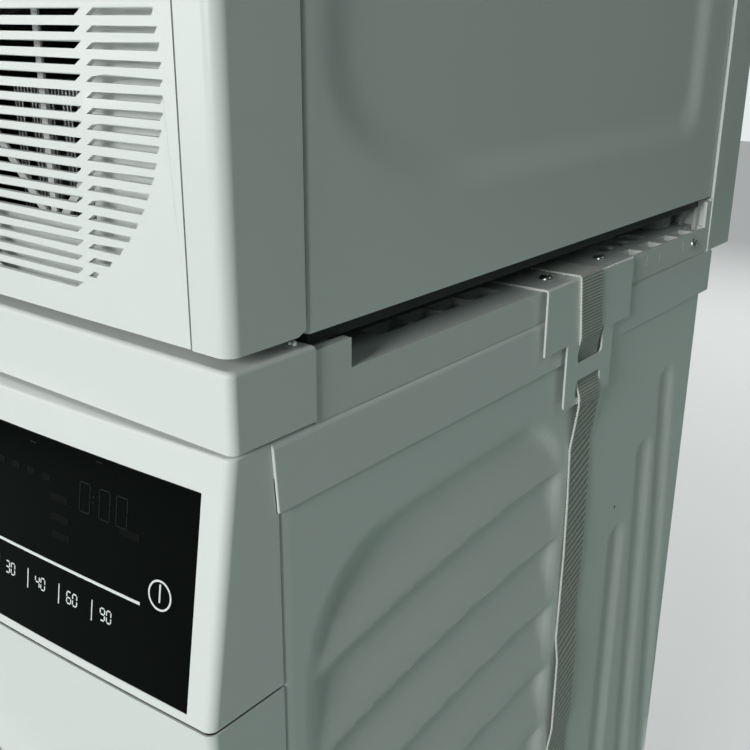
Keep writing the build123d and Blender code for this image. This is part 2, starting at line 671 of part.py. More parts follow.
def rear_stops():
    """Two folded steel angles behind the dryer's rear corners."""
    behind = block(255, 301, 300, 302, WASHER_TOP, WASHER_TOP + 260)
    wing = block(299, 301, 301, STOP_REAR, WASHER_TOP, WASHER_TOP + 260)
    return both_sides(behind + wing)


UPPER_SLOT = (808.0, 830.0)
LOWER_SLOT = (780.0, 794.0)
BRACKET_OUT = BRACKET_X + BRACKET_T


def strap_brackets():
    """Steel brackets over the rails: wide head, narrow tongue and two strap slots."""
    head = block(250, BRACKET_OUT, *BRACKET_Y, RAIL_TOP, RAIL_TOP + BRACKET_T)
    head += block(BRACKET_X, BRACKET_OUT, *BRACKET_Y, WASHER_TOP - 24, RAIL_TOP + BRACKET_T)
    bends = head.edges().filter_by(Axis.Y).filter_by(lambda edge: edge.center().X > BRACKET_X - 1)
    head = fillet(bends.group_by(Axis.Z)[-1], 2.2)
    head = fillet(head.edges().filter_by(Axis.Y).group_by(Axis.Z)[-2].sort_by(Axis.X)[-1], 0.6)
    tongue = block(BRACKET_X, BRACKET_OUT, STRAP_Y - 37, STRAP_Y + 37, WASHER_TOP - 75, WASHER_TOP)
    bracket = head + tongue
    bracket = fillet(bracket.edges().filter_by(Axis.X).group_by(Axis.Z)[0], 4)
    for z0, z1 in (UPPER_SLOT, LOWER_SLOT):
        slot = block(BRACKET_X - 1, BRACKET_OUT + 1, STRAP_Y - 20, STRAP_Y + 20, z0, z1)
        bracket -= fillet(slot.edges().filter_by(Axis.X), 4)
    for y in SCREW_YS:
        bracket -= rod_z(2, RAIL_TOP - 1, RAIL_TOP + 5, SCREW_X, y)
    return both_sides(bracket)


def kit_screws():
    """Pan-head screws of the brackets and of the rails' rear ends."""
    head_z = RAIL_TOP + BRACKET_T
    foot_z, crown_z = head_z - 14, head_z + 2.4
    pan = [(0, foot_z), (2, foot_z), (2, head_z), (5, head_z), (4.4, head_z + 1.6)]
    pan += [(2.5, crown_z), (0, crown_z)]
    screws = [turned_z(pan, SCREW_X, y) for y in SCREW_YS]
    y, z = SIDE_SCREW
    side = rod_x(2, HALF - 12, HALF, y, z) + rod_x(4, HALF, HALF + 1.6, y, z)
    return [part for screw in (*screws, side) for part in both_sides(screw)]


BUCKLE_Z = 505.0
STRAP_PATH = [
    (0, RAIL_TOP + BRACKET_T + 1.2),
    (BRACKET_OUT + 1.2, RAIL_TOP + BRACKET_T + 1.2),
    (BRACKET_OUT + 1.2, 827),
    (BRACKET_X - 1.2, 812),
    (BRACKET_X - 1.2, 794),
    (BRACKET_OUT + 1.2, 781),
    (BRACKET_OUT + 1.2, 773),
    (PANEL_X + 1.2, 735),
    (PANEL_X + 2.4, 640),
    (PANEL_X + 1.2, 560),
    (PANEL_X + 4.0, 540),
    (PANEL_X + 4.0, 470),
    (PANEL_X + 1.2, 450),
    (PANEL_X + 1.2, FLOOR_GAP - 1.2),
    (0, FLOOR_GAP - 1.2),
]


def tie_strap():
    """Woven strap round the washer and over the frame, as one taut band."""
    left = [(-x, z) for x, z in STRAP_PATH[-2:0:-1]]
    loop = make_face(Polyline(*STRAP_PATH, *left, close=True))
    band = offset(loop, STRAP_T / 2) - offset(loop, -STRAP_T / 2)
    return Pos(0, STRAP_Y + STRAP_W / 2, 0) * Rot(90, 0, 0) * extrude(band, STRAP_W)


CAM_X = -PANEL_X - 15.0
CAM_PIN_R = 2.5


def cam_buckle():
    """Steel buckle under the strap with two ears and the cam's pin."""
    x0 = -PANEL_X - 0.3
    y0, y1 = STRAP_Y - 22, STRAP_Y + 22
    buckle = block(x0 - 1.6, x0, y0, y1, BUCKLE_Z - 30, BUCKLE_Z + 25)
    for y in (y0, y1 - 1.6):
        buckle += block(CAM_X - 6, x0, y, y + 1.6, BUCKLE_Z - 14, BUCKLE_Z + 12)
    return buckle + rod_y(CAM_PIN_R, y0 + 0.5, y1 - 0.5, CAM_X, BUCKLE_Z)


def cam_lever():
    """Sprung cam with a thumb plate that grips the strap."""
    y0, y1 = STRAP_Y - 19.5, STRAP_Y + 19.5
    cam = rod_y(8, y0, y1, CAM_X, BUCKLE_Z)
    cam += block(CAM_X - 8, CAM_X - 4, y0, y1, BUCKLE_Z, BUCKLE_Z + 40)
    return cam - rod_y(CAM_PIN_R + RUN, y0 - 1, y1 + 1, CAM_X, BUCKLE_Z)


# ---------------------------------------------------------------- dryer cabinet
DRYER_FOOT_R = 24.0
CABLE_GLAND = (-230.0, 930.0)


def dryer_base():
    """Moulded base tray on an inset plinth with a hanging edge and holes for the feet."""
    base = block(-292, 292, -238, 292, DRYER_FLOOR, DRYER_BOTTOM)
    edge = block(-292, 292, -238, 288, DRYER_EDGE, DRYER_FLOOR)
    base += edge - block(-284, 284, -236.5, 286, DRYER_EDGE - 1, DRYER_FLOOR + 1)
    inner_x = DRYER_PANEL_X - SHEET
    rim = block(-inner_x, inner_x, -243, DRYER_BACK - 1, DRYER_BOTTOM - 0.5, 935)
    rim -= block(-inner_x + 5, inner_x - 5, -239, 292, DRYER_BOTTOM, 936)
    base += rim
    for x, y in DRYER_FEET:
        base -= rod_z(STUD_R + 0.2, DRYER_FLOOR - 1, DRYER_BOTTOM + 1, x, y)
    return base


def dryer_feet():
    """Four round feet with studs, standing on the frame's pads."""
    top = DRYER_FLOOR
    profile = [
        (0, RAIL_TOP),
        (DRYER_FOOT_R - 2, RAIL_TOP),
        (DRYER_FOOT_R, RAIL_TOP + 2),
        (DRYER_FOOT_R, top - 4),
        (DRYER_FOOT_R - 2, top - 2),
        (12, top - 2),
        (12, top),
        (STUD_R, top),
        (STUD_R, top + 16),
        (0, top + 16),
    ]
    return [turned_z(profile, x, y) for x, y in DRYER_FEET]


PRESSING = 5.0


def side_pressing(outer_x, depth):
    """Large field pressed into the dryer's side, with a slanted lower front corner."""
    plane = Plane(origin=(outer_x, 0, 0), x_dir=(0, 1, 0), z_dir=(1, 0, 0))
    outline = Polyline((-232, 1640), (250, 1640), (250, 954), (-150, 954), (-232, 1000), close=True)
    field = make_face(outline)
    return extrude(plane * fillet(field.vertices(), 35), -depth, taper=40)


def dryer_side_panels():
    """Left and right skins, each with one large pressed field."""
    front, top = DRYER_SEAM_Y + 2.5, DRYER_LID - 1
    right = pressed_panel(DRYER_PANEL_X, front, DRYER_REAR, DRYER_BOTTOM, top, EDGE, [], 1)
    right += side_pressing(DRYER_PANEL_X, PRESSING)
    right -= side_pressing(DRYER_PANEL_X + SHEET, PRESSING)
    return both_sides(right)


def dryer_rear_panel():
    """Rear skin with a raised air duct cover, the drum's bearing boss and a cable gland."""
    front = DRYER_BACK - 1
    plane = Plane(origin=(0, front, 1270), x_dir=(1, 0, 0), z_dir=(0, 1, 0))
    panel = block(-296, 296, front, DRYER_BACK, DRYER_BOTTOM + 1, DRYER_LID - 1)
    panel += extrude(plane * RectangleRounded(380, 600, 50), 38, taper=10)
    panel -= extrude(plane.offset(-1) * RectangleRounded(378, 598, 49), 38, taper=10)
    panel += block(-190, 190, front, DRYER_BACK, DRYER_AXIS_Z - 30, DRYER_AXIS_Z + 30)
    panel += rod_y(25, 262, DRYER_BACK, 0, DRYER_AXIS_Z)
    panel -= rod_y(DRYER_SHAFT_R + RUN, 261, 294, 0, DRYER_AXIS_Z)
    panel += rod_y(11, front, 310, *CABLE_GLAND)
    return panel - rod_y(GLAND_R, 290, 320, *CABLE_GLAND)


DRYER_AXLE = (-295.5, 905.0)
DRYER_AXLE_R = 2.0


def door_land(radius):
    return rod_y(radius, -320, -270, 0, DRYER_AXIS_Z)


def dryer_front_panel():
    """Flat front skin with wrapped corners, door seat and the notch for the service flap."""
    size = (DRYER_BOTTOM + 0.5, DRYER_FASCIA - 1, DRYER_FRONT)
    fill = front_block(0, *size)
    panel = door_recess(front_shell(SHEET, *size), fill, DRYER_RECESS_Y, 178, DRYER_AXIS_Z, 1)
    rear, foot = DRYER_SEAM_Y + 1, DRYER_BOTTOM
    panel -= prism_x([(rear - 8, foot), (rear, foot + 3.5), (rear, foot)])
    x0, x1 = GRILLE_X - FLAP_HALF - 0.5, GRILLE_X + FLAP_HALF + 0.5
    panel -= block(x0, x1, -310, -290, DRYER_BOTTOM, FLAP_TOP + 1) - door_land(DRYER_LAND_R)
    axle_y, axle_z = DRYER_AXLE
    for a, b in ((x0 - 5, x0), (x1, x1 + 5)):
        socket = block(a, b, -HALF + 0.5, axle_y + 5, DRYER_BOTTOM + 1, axle_z + 6)
        panel += socket - rod_x(DRYER_AXLE_R + RUN, a - 1, b + 1, axle_y, axle_z)
    return panel


SLOT_PITCH = 7.34
SLOT_H = 3.0
SLOT_ROWS = 30
RIB_OUT = 57.5  # from the grille's middle to a rib at mid height
RIB_LEAN = 0.13
RIB_HALF = 4.4
RIB_SLANT = 1.7  # sideways run of a slot's end for each millimetre up, at a rib
RIM_SLANT = 0.75  # and at the grille's rim
TRAY_Y = (-285.0, -283.5)


def slot(z, left, left_slant, right, right_slant):
    """Cutter for one slot of the grille, with slanted ends."""
    half = SLOT_H / 2
    foot = [(left - left_slant * half, z - half), (right - right_slant * half, z - half)]
    head = [(right + right_slant * half, z + half), (left + left_slant * half, z + half)]
    face = Plane.XZ.offset(HALF - WALL - 1) * make_face(Polyline(*foot, *head, close=True))
    return extrude(face, WALL + 2)


def grille():
    """All slots of the round grille, parted by a leaning rib on each side."""
    slots = []
    for i in range(SLOT_ROWS):
        rise = (i - (SLOT_ROWS - 1) / 2) * SLOT_PITCH
        reach = math.sqrt(GRILLE_R**2 - rise**2) - 1
        rib = RIB_OUT + RIB_LEAN * rise
        inner = min(reach, rib - RIB_HALF)
        slots.append(slot(GRILLE_Z + rise, GRILLE_X - inner, -RIB_SLANT, GRILLE_X + inner, RIB_SLANT))
        if reach > rib + RIB_HALF + 5:
            near, far = rib + RIB_HALF, reach
            slots.append(slot(GRILLE_Z + rise, GRILLE_X + near, RIB_SLANT, GRILLE_X + far, RIM_SLANT))
            slots.append(slot(GRILLE_Z + rise, GRILLE_X - far, -RIM_SLANT, GRILLE_X - near, -RIB_SLANT))
    return slots


def filter_tray():
    """Tray behind the grille, with a braced window."""
    front, back = TRAY_Y
    tray = block(GRILLE_X - 118, GRILLE_X + 118, -HALF + WALL - 0.5, back, 908, 1137)
    tray -= block(GRILLE_X - 116, GRILLE_X + 116, -HALF, front, 910, 1135) - door_land(DRYER_LAND_R + 7)
    tray -= door_land(DRYER_LAND_R + 5)
    window = block(GRILLE_X - 95, GRILLE_X + 37, front - 1, back + 1, 950, 1115)
    middle = Pos(GRILLE_X, (front + back) / 2, GRILLE_Z)
    for turn in (45, 135, 225, 315):
        window -= middle * Rot(0, turn, 0) * Pos(60, 0, 0) * Box(5, back - front, 120)
    return tray - (window - middle * Box(5, back - front, 200))


def dryer_flap():
    """Service flap with a round slotted grille, a filter tray behind it and an axle along its foot."""
    x0, x1 = GRILLE_X - FLAP_HALF + 0.5, GRILLE_X + FLAP_HALF - 0.5
    flap = block(x0, x1, -HALF, -HALF + WALL, DRYER_BOTTOM + 1, FLAP_TOP)
    flap = flap - grille() - door_land(DRYER_LAND_R + 1) + filter_tray()
    axle_y, axle_z = DRYER_AXLE
    for x in (x0, x1 - 5):
        flap += block(x, x + 5, -HALF + 1, axle_y + 3, DRYER_BOTTOM + 1.5, axle_z + 4)
    return flap + rod_x(DRYER_AXLE_R, x0 - 4, x1 + 4, axle_y, axle_z)


def dryer_top():
    """Dryer's top plate with a shallow skirt."""
    top = block(-HALF, HALF, -HALF, 300, DRYER_LID, DRYER_TOP)
    top = fillet(top.edges().group_by(Axis.Z)[-1], 5)
    return top - block(-HALF + 8, HALF - 8, -HALF + 8, 292, DRYER_LID - 1, DRYER_LID + 8)


TANK_X0, TANK_X1 = -285.0, -75.0
TANK_Z0, TANK_Z1 = 1601.0, 1691.0
DRYER_KNOB_Z = 1645.0
DRYER_DISPLAY = (60.0, 275.0, 1610.0, 1682.0)


def dryer_display():
    """Black glass let into the dryer's fascia."""
    x0, x1, z0, z1 = DRYER_DISPLAY
    return block(x0, x1, -HALF, -HALF + DISPLAY_T, z0, z1)


def dryer_fascia():
    """Control panel with the tank's tray moulded behind it."""
    fascia = front_shell(WALL, DRYER_FASCIA, DRYER_LID - 0.5, DRYER_FRONT)
    fascia -= block(TANK_X0 - GAP, TANK_X1 + GAP, -310, -290, TANK_Z0 - GAP, TANK_Z1 + GAP)
    fascia -= dryer_display()
    tray = block(TANK_X0 - 4, TANK_X1 + 4, -280, 155, 1624, 1650)
    tray -= block(TANK_X0 + 1, TANK_X1 - 1, -281, 152, 1628, 1651)
    for x in (TANK_X0 - 4, TANK_X1 + 1):
        tray += block(x, x + 3, -HALF + 1, -279, 1624, 1650)
    fascia += tray + rod_y(9, -HALF + 1, -HALF + 15, 0, DRYER_KNOB_Z)
    return fascia - rod_y(KNOB_SHAFT_R + RUN, -HALF - 1, -HALF + 12, 0, DRYER_KNOB_Z)


def dryer_knob():
    plane = Plane(origin=(0, -HALF - 0.6, DRYER_KNOB_Z), x_dir=(1, 0, 0), z_dir=(0, -1, 0))
    return knob(plane, 30, 20, 3)


def water_container():
    """Condensate tank with drawer front, grip recess and filling hole."""
    tank = block(TANK_X0, TANK_X1, -HALF, -HALF + WALL, TANK_Z0, TANK_Z1)
    tank += block(TANK_X0 + 5, TANK_X1 - 5, -HALF + 1, 148, 1630, 1688)
    tank += block(-218, -142, -HALF + 1, -283, 1604, 1632)
    tank -= block(TANK_X0 + 8, TANK_X1 - 8, -HALF + WALL + 1, 145, 1633, 1685)
    tank -= rod_z(20, 1680, 1700, (TANK_X0 + TANK_X1) / 2, 100)
    return tank - block(-215, -145, -HALF - 1, -286, 1607, 1625)


# ---------------------------------------------------------------- dryer drum and heat pump
DRYER_DRUM_R = 285.0
DRYER_DRUM_IN = 284.0
DRYER_SHAFT_R = 10.0
ROTOR_X, ROTOR_Z = -20.0, 975.0
ROTOR_SHAFT_R = 6.0
ROTOR_PULLEY_R = 8.0
FAN_R = 60.0


def dryer_bulkhead():
    """Front bearing shield: door tunnel, rear flange and the lint filter's pocket."""
    front = DRYER_RECESS_Y + SHEET
    profile = [(178, front), (181, front), (181, -242), (262, -242), (262, -239), (178, -239)]
    shield = turned_y(profile, 0, DRYER_AXIS_Z)
    shield += block(-96, 96, -273, -247, 1060, 1175) - rod_y(178, -300, -200, 0, DRYER_AXIS_Z)
    return shield - block(-92, 92, -269, -251, 1063, 1200)


def lint_filter():
    """Lint filter frame with a finger grip, lifted out of the door tunnel."""
    frame = block(-91, 91, -268.5, -251.5, 1064, 1152)
    frame -= block(-84, 84, -270, -253.5, 1070, 1145)
    return frame + block(-30, 30, -262, -258, 1151, 1166)


def dryer_drum():
    """Dryer drum with a rolled front edge, closed rear wall and bearing shaft."""
    profile = [
        (225, -234.5),
        (DRYER_DRUM_R, -234.5),
        (DRYER_DRUM_R, 240),
        (40, 240),
        (DRYER_SHAFT_R, 250),
        (DRYER_SHAFT_R, 291),
        (0, 291),
        (0, 239),
        (DRYER_DRUM_IN, 239),
        (DRYER_DRUM_IN, -233.5),
        (225, -233.5),
    ]
    return turned_y(profile, 0, DRYER_AXIS_Z)


def drum_felt():
    """Felt seal between the shield's flange and the drum."""
    return turned_y([(236, -239), (258, -239), (258, -234.9), (236, -234.9)], 0, DRYER_AXIS_Z)


def dryer_belt():
    return belt(-90, -78, (0, DRYER_AXIS_Z, DRYER_DRUM_R), (ROTOR_X, ROTOR_Z, ROTOR_PULLEY_R), 2)


def dryer_motor():
    """Motor on its stand, with a through bore for the rotor shaft."""
    bore = ROTOR_SHAFT_R + RUN
    motor = turned_y([(bore, -60), (30, -60), (42, -48), (42, 88), (30, 100), (bore, 100)], ROTOR_X, ROTOR_Z)
    for y in (-40, 60):
        motor += block(ROTOR_X - 30, ROTOR_X + 30, y, y + 18, DRYER_BOTTOM, ROTOR_Z - 30)
    return motor


def dryer_fan():
    """Rotor shaft with the drum belt's pulley in front and the process fan behind."""
    profile = [
        (0, -100),
        (ROTOR_PULLEY_R, -100),
        (ROTOR_PULLEY_R, -66),
        (ROTOR_SHAFT_R, -66),
        (ROTOR_SHAFT_R, 160),
        (FAN_R, 160),
        (FAN_R, 163),
        (14, 163),
        (14, 200),
        (0, 200),
    ]
    fan = turned_y(profile, ROTOR_X, ROTOR_Z)
    for step in range(12):
        blade = block(-1, 1, 162, 200, 38, FAN_R - 2)
        fan += Pos(ROTOR_X, 0, ROTOR_Z) * Rot(0, 30 * step, 0) * blade
    return fan


def heat_exchanger():
    """Finned heat exchanger behind the service flap."""
    core = block(50, 242, -236, 140, DRYER_BOTTOM, 1012)
    for i in range(11):
        x = 60 + 16 * i
        core -= block(x, x + 6, -237, -180, DRYER_BOTTOM + 14, 1000)
    return core


def compressor():
    """Heat pump compressor can with its suction pipe."""
    x, y = -150.0, 10.0
    can = [(0, DRYER_BOTTOM), (66, DRYER_BOTTOM), (66, 908), (58, 912), (58, 1020), (44, 1036), (0, 1040)]
    return turned_z(can, x, y) + rod_z(7, 1030, 1056, x, y)


PARTS = {
    "washer_base": washer_base,
    "washer_feet": washer_feet,
    "washer_side_panels": washer_side_panels,
    "washer_rear_panel": washer_rear_panel,
    "washer_front_panel": washer_front_panel,
    "filter_flap": filter_flap,
    "washer_worktop": washer_worktop,
    "washer_fascia": washer_fascia,
    "washer_display": washer_display,
    "washer_knob": washer_knob,
    "detergent_drawer": detergent_drawer,
    "dispenser_housing": dispenser_housing,
    "washer_door_ring": lambda: door_ring(-357, WASHER_RECESS_Y - 1, WASHER_AXIS_Z, WASHER_HINGE_Y, -1),
    "washer_door_hinge": lambda: door_hinge(WASHER_RECESS_Y, WASHER_AXIS_Z, WASHER_HINGE_Y, -1),
    "washer_door_glass": lambda: door_glass(-357, 99, 146, 128, WASHER_AXIS_Z),
    "door_gasket": door_gasket,
    "washer_tub": washer_tub,
    "washer_drum": washer_drum,
    "drum_lifters": lambda: lifters(DRUM_IN, 64, 46, -205, 155, WASHER_AXIS_Z),
    "drum_pulley": drum_pulley,
    "washer_belt": washer_belt,
    "washer_motor": washer_motor,
    "motor_pulley": motor_pulley,
    "counterweights": counterweights,
    "tub_suspension": tub_suspension,
    "drain_pump": drain_pump,
    "pump_filter_cap": pump_filter_cap,
    "inlet_valve": inlet_valve,
    "kit_frame": kit_frame,
    "kit_shelf": kit_shelf,
    "rear_stops": rear_stops,
    "strap_brackets": strap_brackets,
    "kit_screws": kit_screws,
    "tie_strap": tie_strap,
    "cam_buckle": cam_buckle,
    "cam_lever": cam_lever,
    "dryer_base": dryer_base,
    "dryer_feet": dryer_feet,
    "dryer_side_panels": dryer_side_panels,
    "dryer_rear_panel": dryer_rear_panel,
    "dryer_front_panel": dryer_front_panel,
    "dryer_flap": dryer_flap,
    "dryer_top": dryer_top,
    "dryer_display": dryer_display,
    "dryer_fascia": dryer_fascia,
    "dryer_knob": dryer_knob,
    "water_container": water_container,
    "dryer_door_ring": lambda: door_ring(-322, DRYER_RECESS_Y - 1, DRYER_AXIS_Z, DRYER_HINGE_Y, 1),
    "dryer_door_hinge": lambda: door_hinge(DRYER_RECESS_Y, DRYER_AXIS_Z, DRYER_HINGE_Y, 1),
    "dryer_door_glass": lambda: door_glass(-322, 48, 146, 140, DRYER_AXIS_Z),
    "dryer_bulkhead": dryer_bulkhead,
    "lint_filter": lint_filter,
    "dryer_drum": dryer_drum,
    "dryer_lifters": lambda: lifters(DRYER_DRUM_IN, 70, 50, -200, 200, DRYER_AXIS_Z),
    "drum_felt": drum_felt,
    "dryer_belt": dryer_belt,
    "dryer_motor": dryer_motor,
    "dryer_fan": dryer_fan,
    "heat_exchanger": heat_exchanger,
    "compressor": compressor,
}

for name, make in PARTS.items():
    made = make()
    save(name, *(made if isinstance(made, (list, tuple)) else [made]))
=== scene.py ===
"""Looks of the washer dryer stack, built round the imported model. Metres, Z up, the fronts face -Y."""

import json
import math

import bmesh
import bpy
from mathutils import Euler, Matrix, Vector


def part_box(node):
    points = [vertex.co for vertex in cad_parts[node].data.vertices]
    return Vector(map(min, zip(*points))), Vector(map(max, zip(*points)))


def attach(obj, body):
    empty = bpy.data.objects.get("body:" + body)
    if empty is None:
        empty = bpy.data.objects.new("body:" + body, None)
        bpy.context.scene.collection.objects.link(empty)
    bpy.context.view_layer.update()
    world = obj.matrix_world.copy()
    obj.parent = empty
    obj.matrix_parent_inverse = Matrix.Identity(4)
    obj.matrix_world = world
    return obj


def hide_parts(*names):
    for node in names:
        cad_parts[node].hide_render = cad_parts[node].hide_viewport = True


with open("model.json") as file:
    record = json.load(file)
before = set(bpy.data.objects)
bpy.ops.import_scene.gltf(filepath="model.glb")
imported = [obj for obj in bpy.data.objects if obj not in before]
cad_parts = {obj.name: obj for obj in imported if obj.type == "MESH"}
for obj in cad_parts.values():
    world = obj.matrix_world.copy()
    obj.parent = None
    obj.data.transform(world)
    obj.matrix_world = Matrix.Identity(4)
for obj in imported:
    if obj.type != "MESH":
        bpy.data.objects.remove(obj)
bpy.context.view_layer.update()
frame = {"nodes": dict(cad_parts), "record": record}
RECORD = frame["record"]
NODES = frame["nodes"]
BODY = {node: body for body, nodes in RECORD["behaviour"]["bodies"].items() for node in nodes}
SLOT = {entry["node"]: entry["material_slot"] for entry in RECORD["subparts"]}
MM = 0.001


# ---------------------------------------------------------------- material helpers
class Shader:
    """A Principled material with the texture nodes that this scene needs, in the object's own frame."""

    def __init__(self, name, colour, roughness, metallic=0.0, **sockets):
        self.material = bpy.data.materials.new(name)
        self.material.use_nodes = True
        self.tree = self.material.node_tree
        self.bsdf = self.tree.nodes["Principled BSDF"]
        self.colour = self.value_of(colour)
        self.set("Base Color", self.colour)
        self.set("Roughness", roughness)
        self.set("Metallic", metallic)
        for socket, value in sockets.items():
            self.set(socket.replace("_", " "), value)
        self.place = self.node("ShaderNodeTexCoord").outputs["Object"]

    @staticmethod
    def value_of(colour):
        return (*colour, 1.0) if len(colour) == 3 else colour

    def set(self, socket, value):
        self.bsdf.inputs[socket].default_value = value

    def node(self, kind, **values):
        made = self.tree.nodes.new(kind)
        for key, value in values.items():
            setattr(made, key, value)
        return made

    def link(self, output, target):
        self.tree.links.new(output, target)

    def stretched(self, scale, turn=(0, 0, 0)):
        """Coordinates for a texture that is scaled and turned."""
        mapping = self.node("ShaderNodeMapping")
        mapping.inputs["Scale"].default_value = scale
        mapping.inputs["Rotation"].default_value = turn
        self.link(self.place, mapping.inputs["Vector"])
        return mapping.outputs["Vector"]

    def noise(self, scale, detail=2.0, vector=None):
        """Soft noise from 0 to 1."""
        made = self.node("ShaderNodeTexNoise")
        made.inputs["Scale"].default_value = scale
        made.inputs["Detail"].default_value = detail
        self.link(vector or self.place, made.inputs["Vector"])
        return made.outputs["Fac"]

    def ramp(self, value, low, high, start=0.0, end=1.0):
        made = self.node("ShaderNodeMapRange")
        for socket, number in (("From Min", low), ("From Max", high), ("To Min", start), ("To Max", end)):
            made.inputs[socket].default_value = number
        self.link(value, made.inputs["Value"])
        return made.outputs["Result"]

    def maths(self, operation, a, b=0.0):
        made = self.node("ShaderNodeMath", operation=operation)
        for value, socket in zip((a, b), made.inputs):
            if isinstance(value, (int, float)):
                socket.default_value = value
            else:
                self.link(value, socket)
        return made.outputs[0]

    def tint(self, factor, colour):
        """Mixes another colour over what the base colour is so far."""
        made = self.node("ShaderNodeMix", data_type="RGBA")
        base = self.bsdf.inputs["Base Color"]
        if base.is_linked:
            self.link(base.links[0].from_socket, made.inputs[6])
        else:
            made.inputs[6].default_value = self.colour
        made.inputs[7].default_value = self.value_of(colour)
        self.link(factor, made.inputs[0])
        self.link(made.outputs[2], base)
        return self

    def rough(self, factor, low, high):
        self.link(self.ramp(factor, 0.35, 0.65, low, high), self.bsdf.inputs["Roughness"])
        return self

    def bump(self, height, depth, strength=1.0):
        """Small relief from a height, over any relief that is there already."""
        made = self.node("ShaderNodeBump")
        made.inputs["Distance"].default_value = depth
        made.inputs["Strength"].default_value = strength
        normal = self.bsdf.inputs["Normal"]
        if normal.is_linked:
            self.link(normal.links[0].from_socket, made.inputs["Normal"])
        self.link(height, made.inputs["Height"])
        self.link(made.outputs["Normal"], normal)
        return self


def enamel(name, colour, roughness=0.3):
    """Sprayed and baked enamel on steel sheet: faint orange peel and slow changes of shade."""
    paint = Shader(name, colour, roughness, Coat_Weight=0.15, Coat_Roughness=0.2)
    paint.tint(paint.ramp(paint.noise(4.0), 0.3, 0.75, 0.0, 0.3), [c * 0.97 for c in colour])
    paint.rough(paint.noise(14.0, 4.0), roughness - 0.02, roughness + 0.03)
    return paint.bump(paint.noise(700.0, 2.0), 0.00005, 0.3)


def moulding(name, colour, roughness, grain=1600.0, depth=0.00004, **sockets):
    """Injection-moulded plastic with a fine eroded grain."""
    plastic = Shader(name, colour, roughness, **sockets)
    plastic.tint(plastic.ramp(plastic.noise(7.0, 3.0), 0.35, 0.75, 0.0, 0.3), [c * 0.96 for c in colour])
    plastic.rough(plastic.noise(22.0, 4.0), roughness - 0.03, roughness + 0.05)
    return plastic.bump(plastic.noise(grain, 2.0), depth, 0.5)


def bare_metal(name, colour, roughness, along, fine=260.0):
    """Rolled or brushed metal whose scratches run along one axis."""
    metal = Shader(name, colour, roughness, 1.0)
    stretch = [fine if axis != along else fine * 0.03 for axis in range(3)]
    lines = metal.noise(4.0, 3.0, metal.stretched(stretch))
    metal.tint(metal.ramp(lines, 0.35, 0.7, 0.0, 0.45), [c * 0.8 for c in colour])
    metal.rough(metal.noise(9.0, 4.0), roughness - 0.06, roughness + 0.1)
    return metal.bump(lines, 0.00003, 0.5)


# ---------------------------------------------------------------- materials, one per slot
def black_glass():
    """Back-painted glass with faint smears."""
    glass = Shader("black_glass", (0.0012, 0.0016, 0.0016), 0.1, Specular_IOR_Level=0.07)
    return glass.rough(glass.noise(12.0, 5.0), 0.07, 0.13)


def clear_glass():
    """Smoked door glass, slightly green, that shows the drum behind it."""
    glass = Shader("clear_glass", (0.52, 0.56, 0.56), 0.03, IOR=1.45, Transmission_Weight=0.96)
    return glass.rough(glass.noise(9.0, 4.0), 0.02, 0.07)


def stainless():
    """Drum steel: brushed, with rows of drain holes drawn as near-black spots of painted shade."""
    steel = bare_metal("stainless", (0.56, 0.56, 0.55), 0.3, 1)
    cells = steel.node("ShaderNodeTexVoronoi")
    cells.inputs["Scale"].default_value = 62.0
    cells.inputs["Randomness"].default_value = 0.0
    steel.link(steel.place, cells.inputs["Vector"])
    # Near-black spots at the drain holes: painted shade for the dark seen through them.
    hole_shade = steel.ramp(cells.outputs["Distance"], 0.2, 0.26, 1.0, 0.0)
    steel.tint(hole_shade, (0.02, 0.02, 0.02))
    return steel.bump(steel.ramp(cells.outputs["Distance"], 0.2, 0.36), 0.0008, 0.6)


def zinc_steel():
    """Zinc-plated screws and fittings."""
    zinc = bare_metal("zinc_steel", (0.6, 0.62, 0.6), 0.3, 2, 500.0)
    return zinc.tint(zinc.ramp(zinc.noise(160.0, 4.0), 0.5, 0.75, 0.0, 0.4), (0.36, 0.36, 0.33))


def webbing(name, colour):
    """Polyester webbing: warp ends along the strap and picks across it."""
    cloth = Shader(name, colour, 0.75, Sheen_Weight=0.2)
    warp = cloth.noise(3.0, 1.0, cloth.stretched((25.0, 900.0, 25.0)))
    cloth.tint(cloth.ramp(warp, 0.35, 0.65, 0.0, 0.4), [c * 0.75 for c in colour])
    cloth.tint(cloth.ramp(cloth.noise(30.0, 4.0), 0.5, 0.8, 0.0, 0.25), [c * 0.7 for c in colour])
    return cloth.bump(warp, 0.0002, 0.5)


def felt():
    wool = Shader("felt", (0.5, 0.47, 0.4), 0.95, Sheen_Weight=0.4)
    wool.tint(wool.ramp(wool.noise(240.0, 6.0), 0.4, 0.65), (0.32, 0.3, 0.26))
    return wool.bump(wool.noise(900.0, 5.0), 0.0003, 0.8)


def concrete():
    stone = Shader("concrete", (0.4, 0.39, 0.37), 0.9)
    stone.tint(stone.ramp(stone.noise(45.0, 8.0), 0.35, 0.7), (0.25, 0.245, 0.23))
    return stone.bump(stone.noise(160.0, 8.0), 0.0009, 0.9)


def fins():
    """Thin aluminium fins set side by side, with the gaps between them darkened as painted shade."""
    metal = bare_metal("fins", (0.62, 0.64, 0.64), 0.35, 2)
    wave = metal.node("ShaderNodeTexWave", bands_direction="X")
    wave.inputs["Scale"].default_value = 90.0
    metal.link(metal.place, wave.inputs["Vector"])
    # Dark stripes in the gaps between the fins: painted shade.
    metal.tint(metal.ramp(wave.outputs["Fac"], 0.3, 0.7, 0.8, 0.0), (0.05, 0.05, 0.05))
    return metal.bump(wave.outputs["Fac"], 0.001, 0.8)


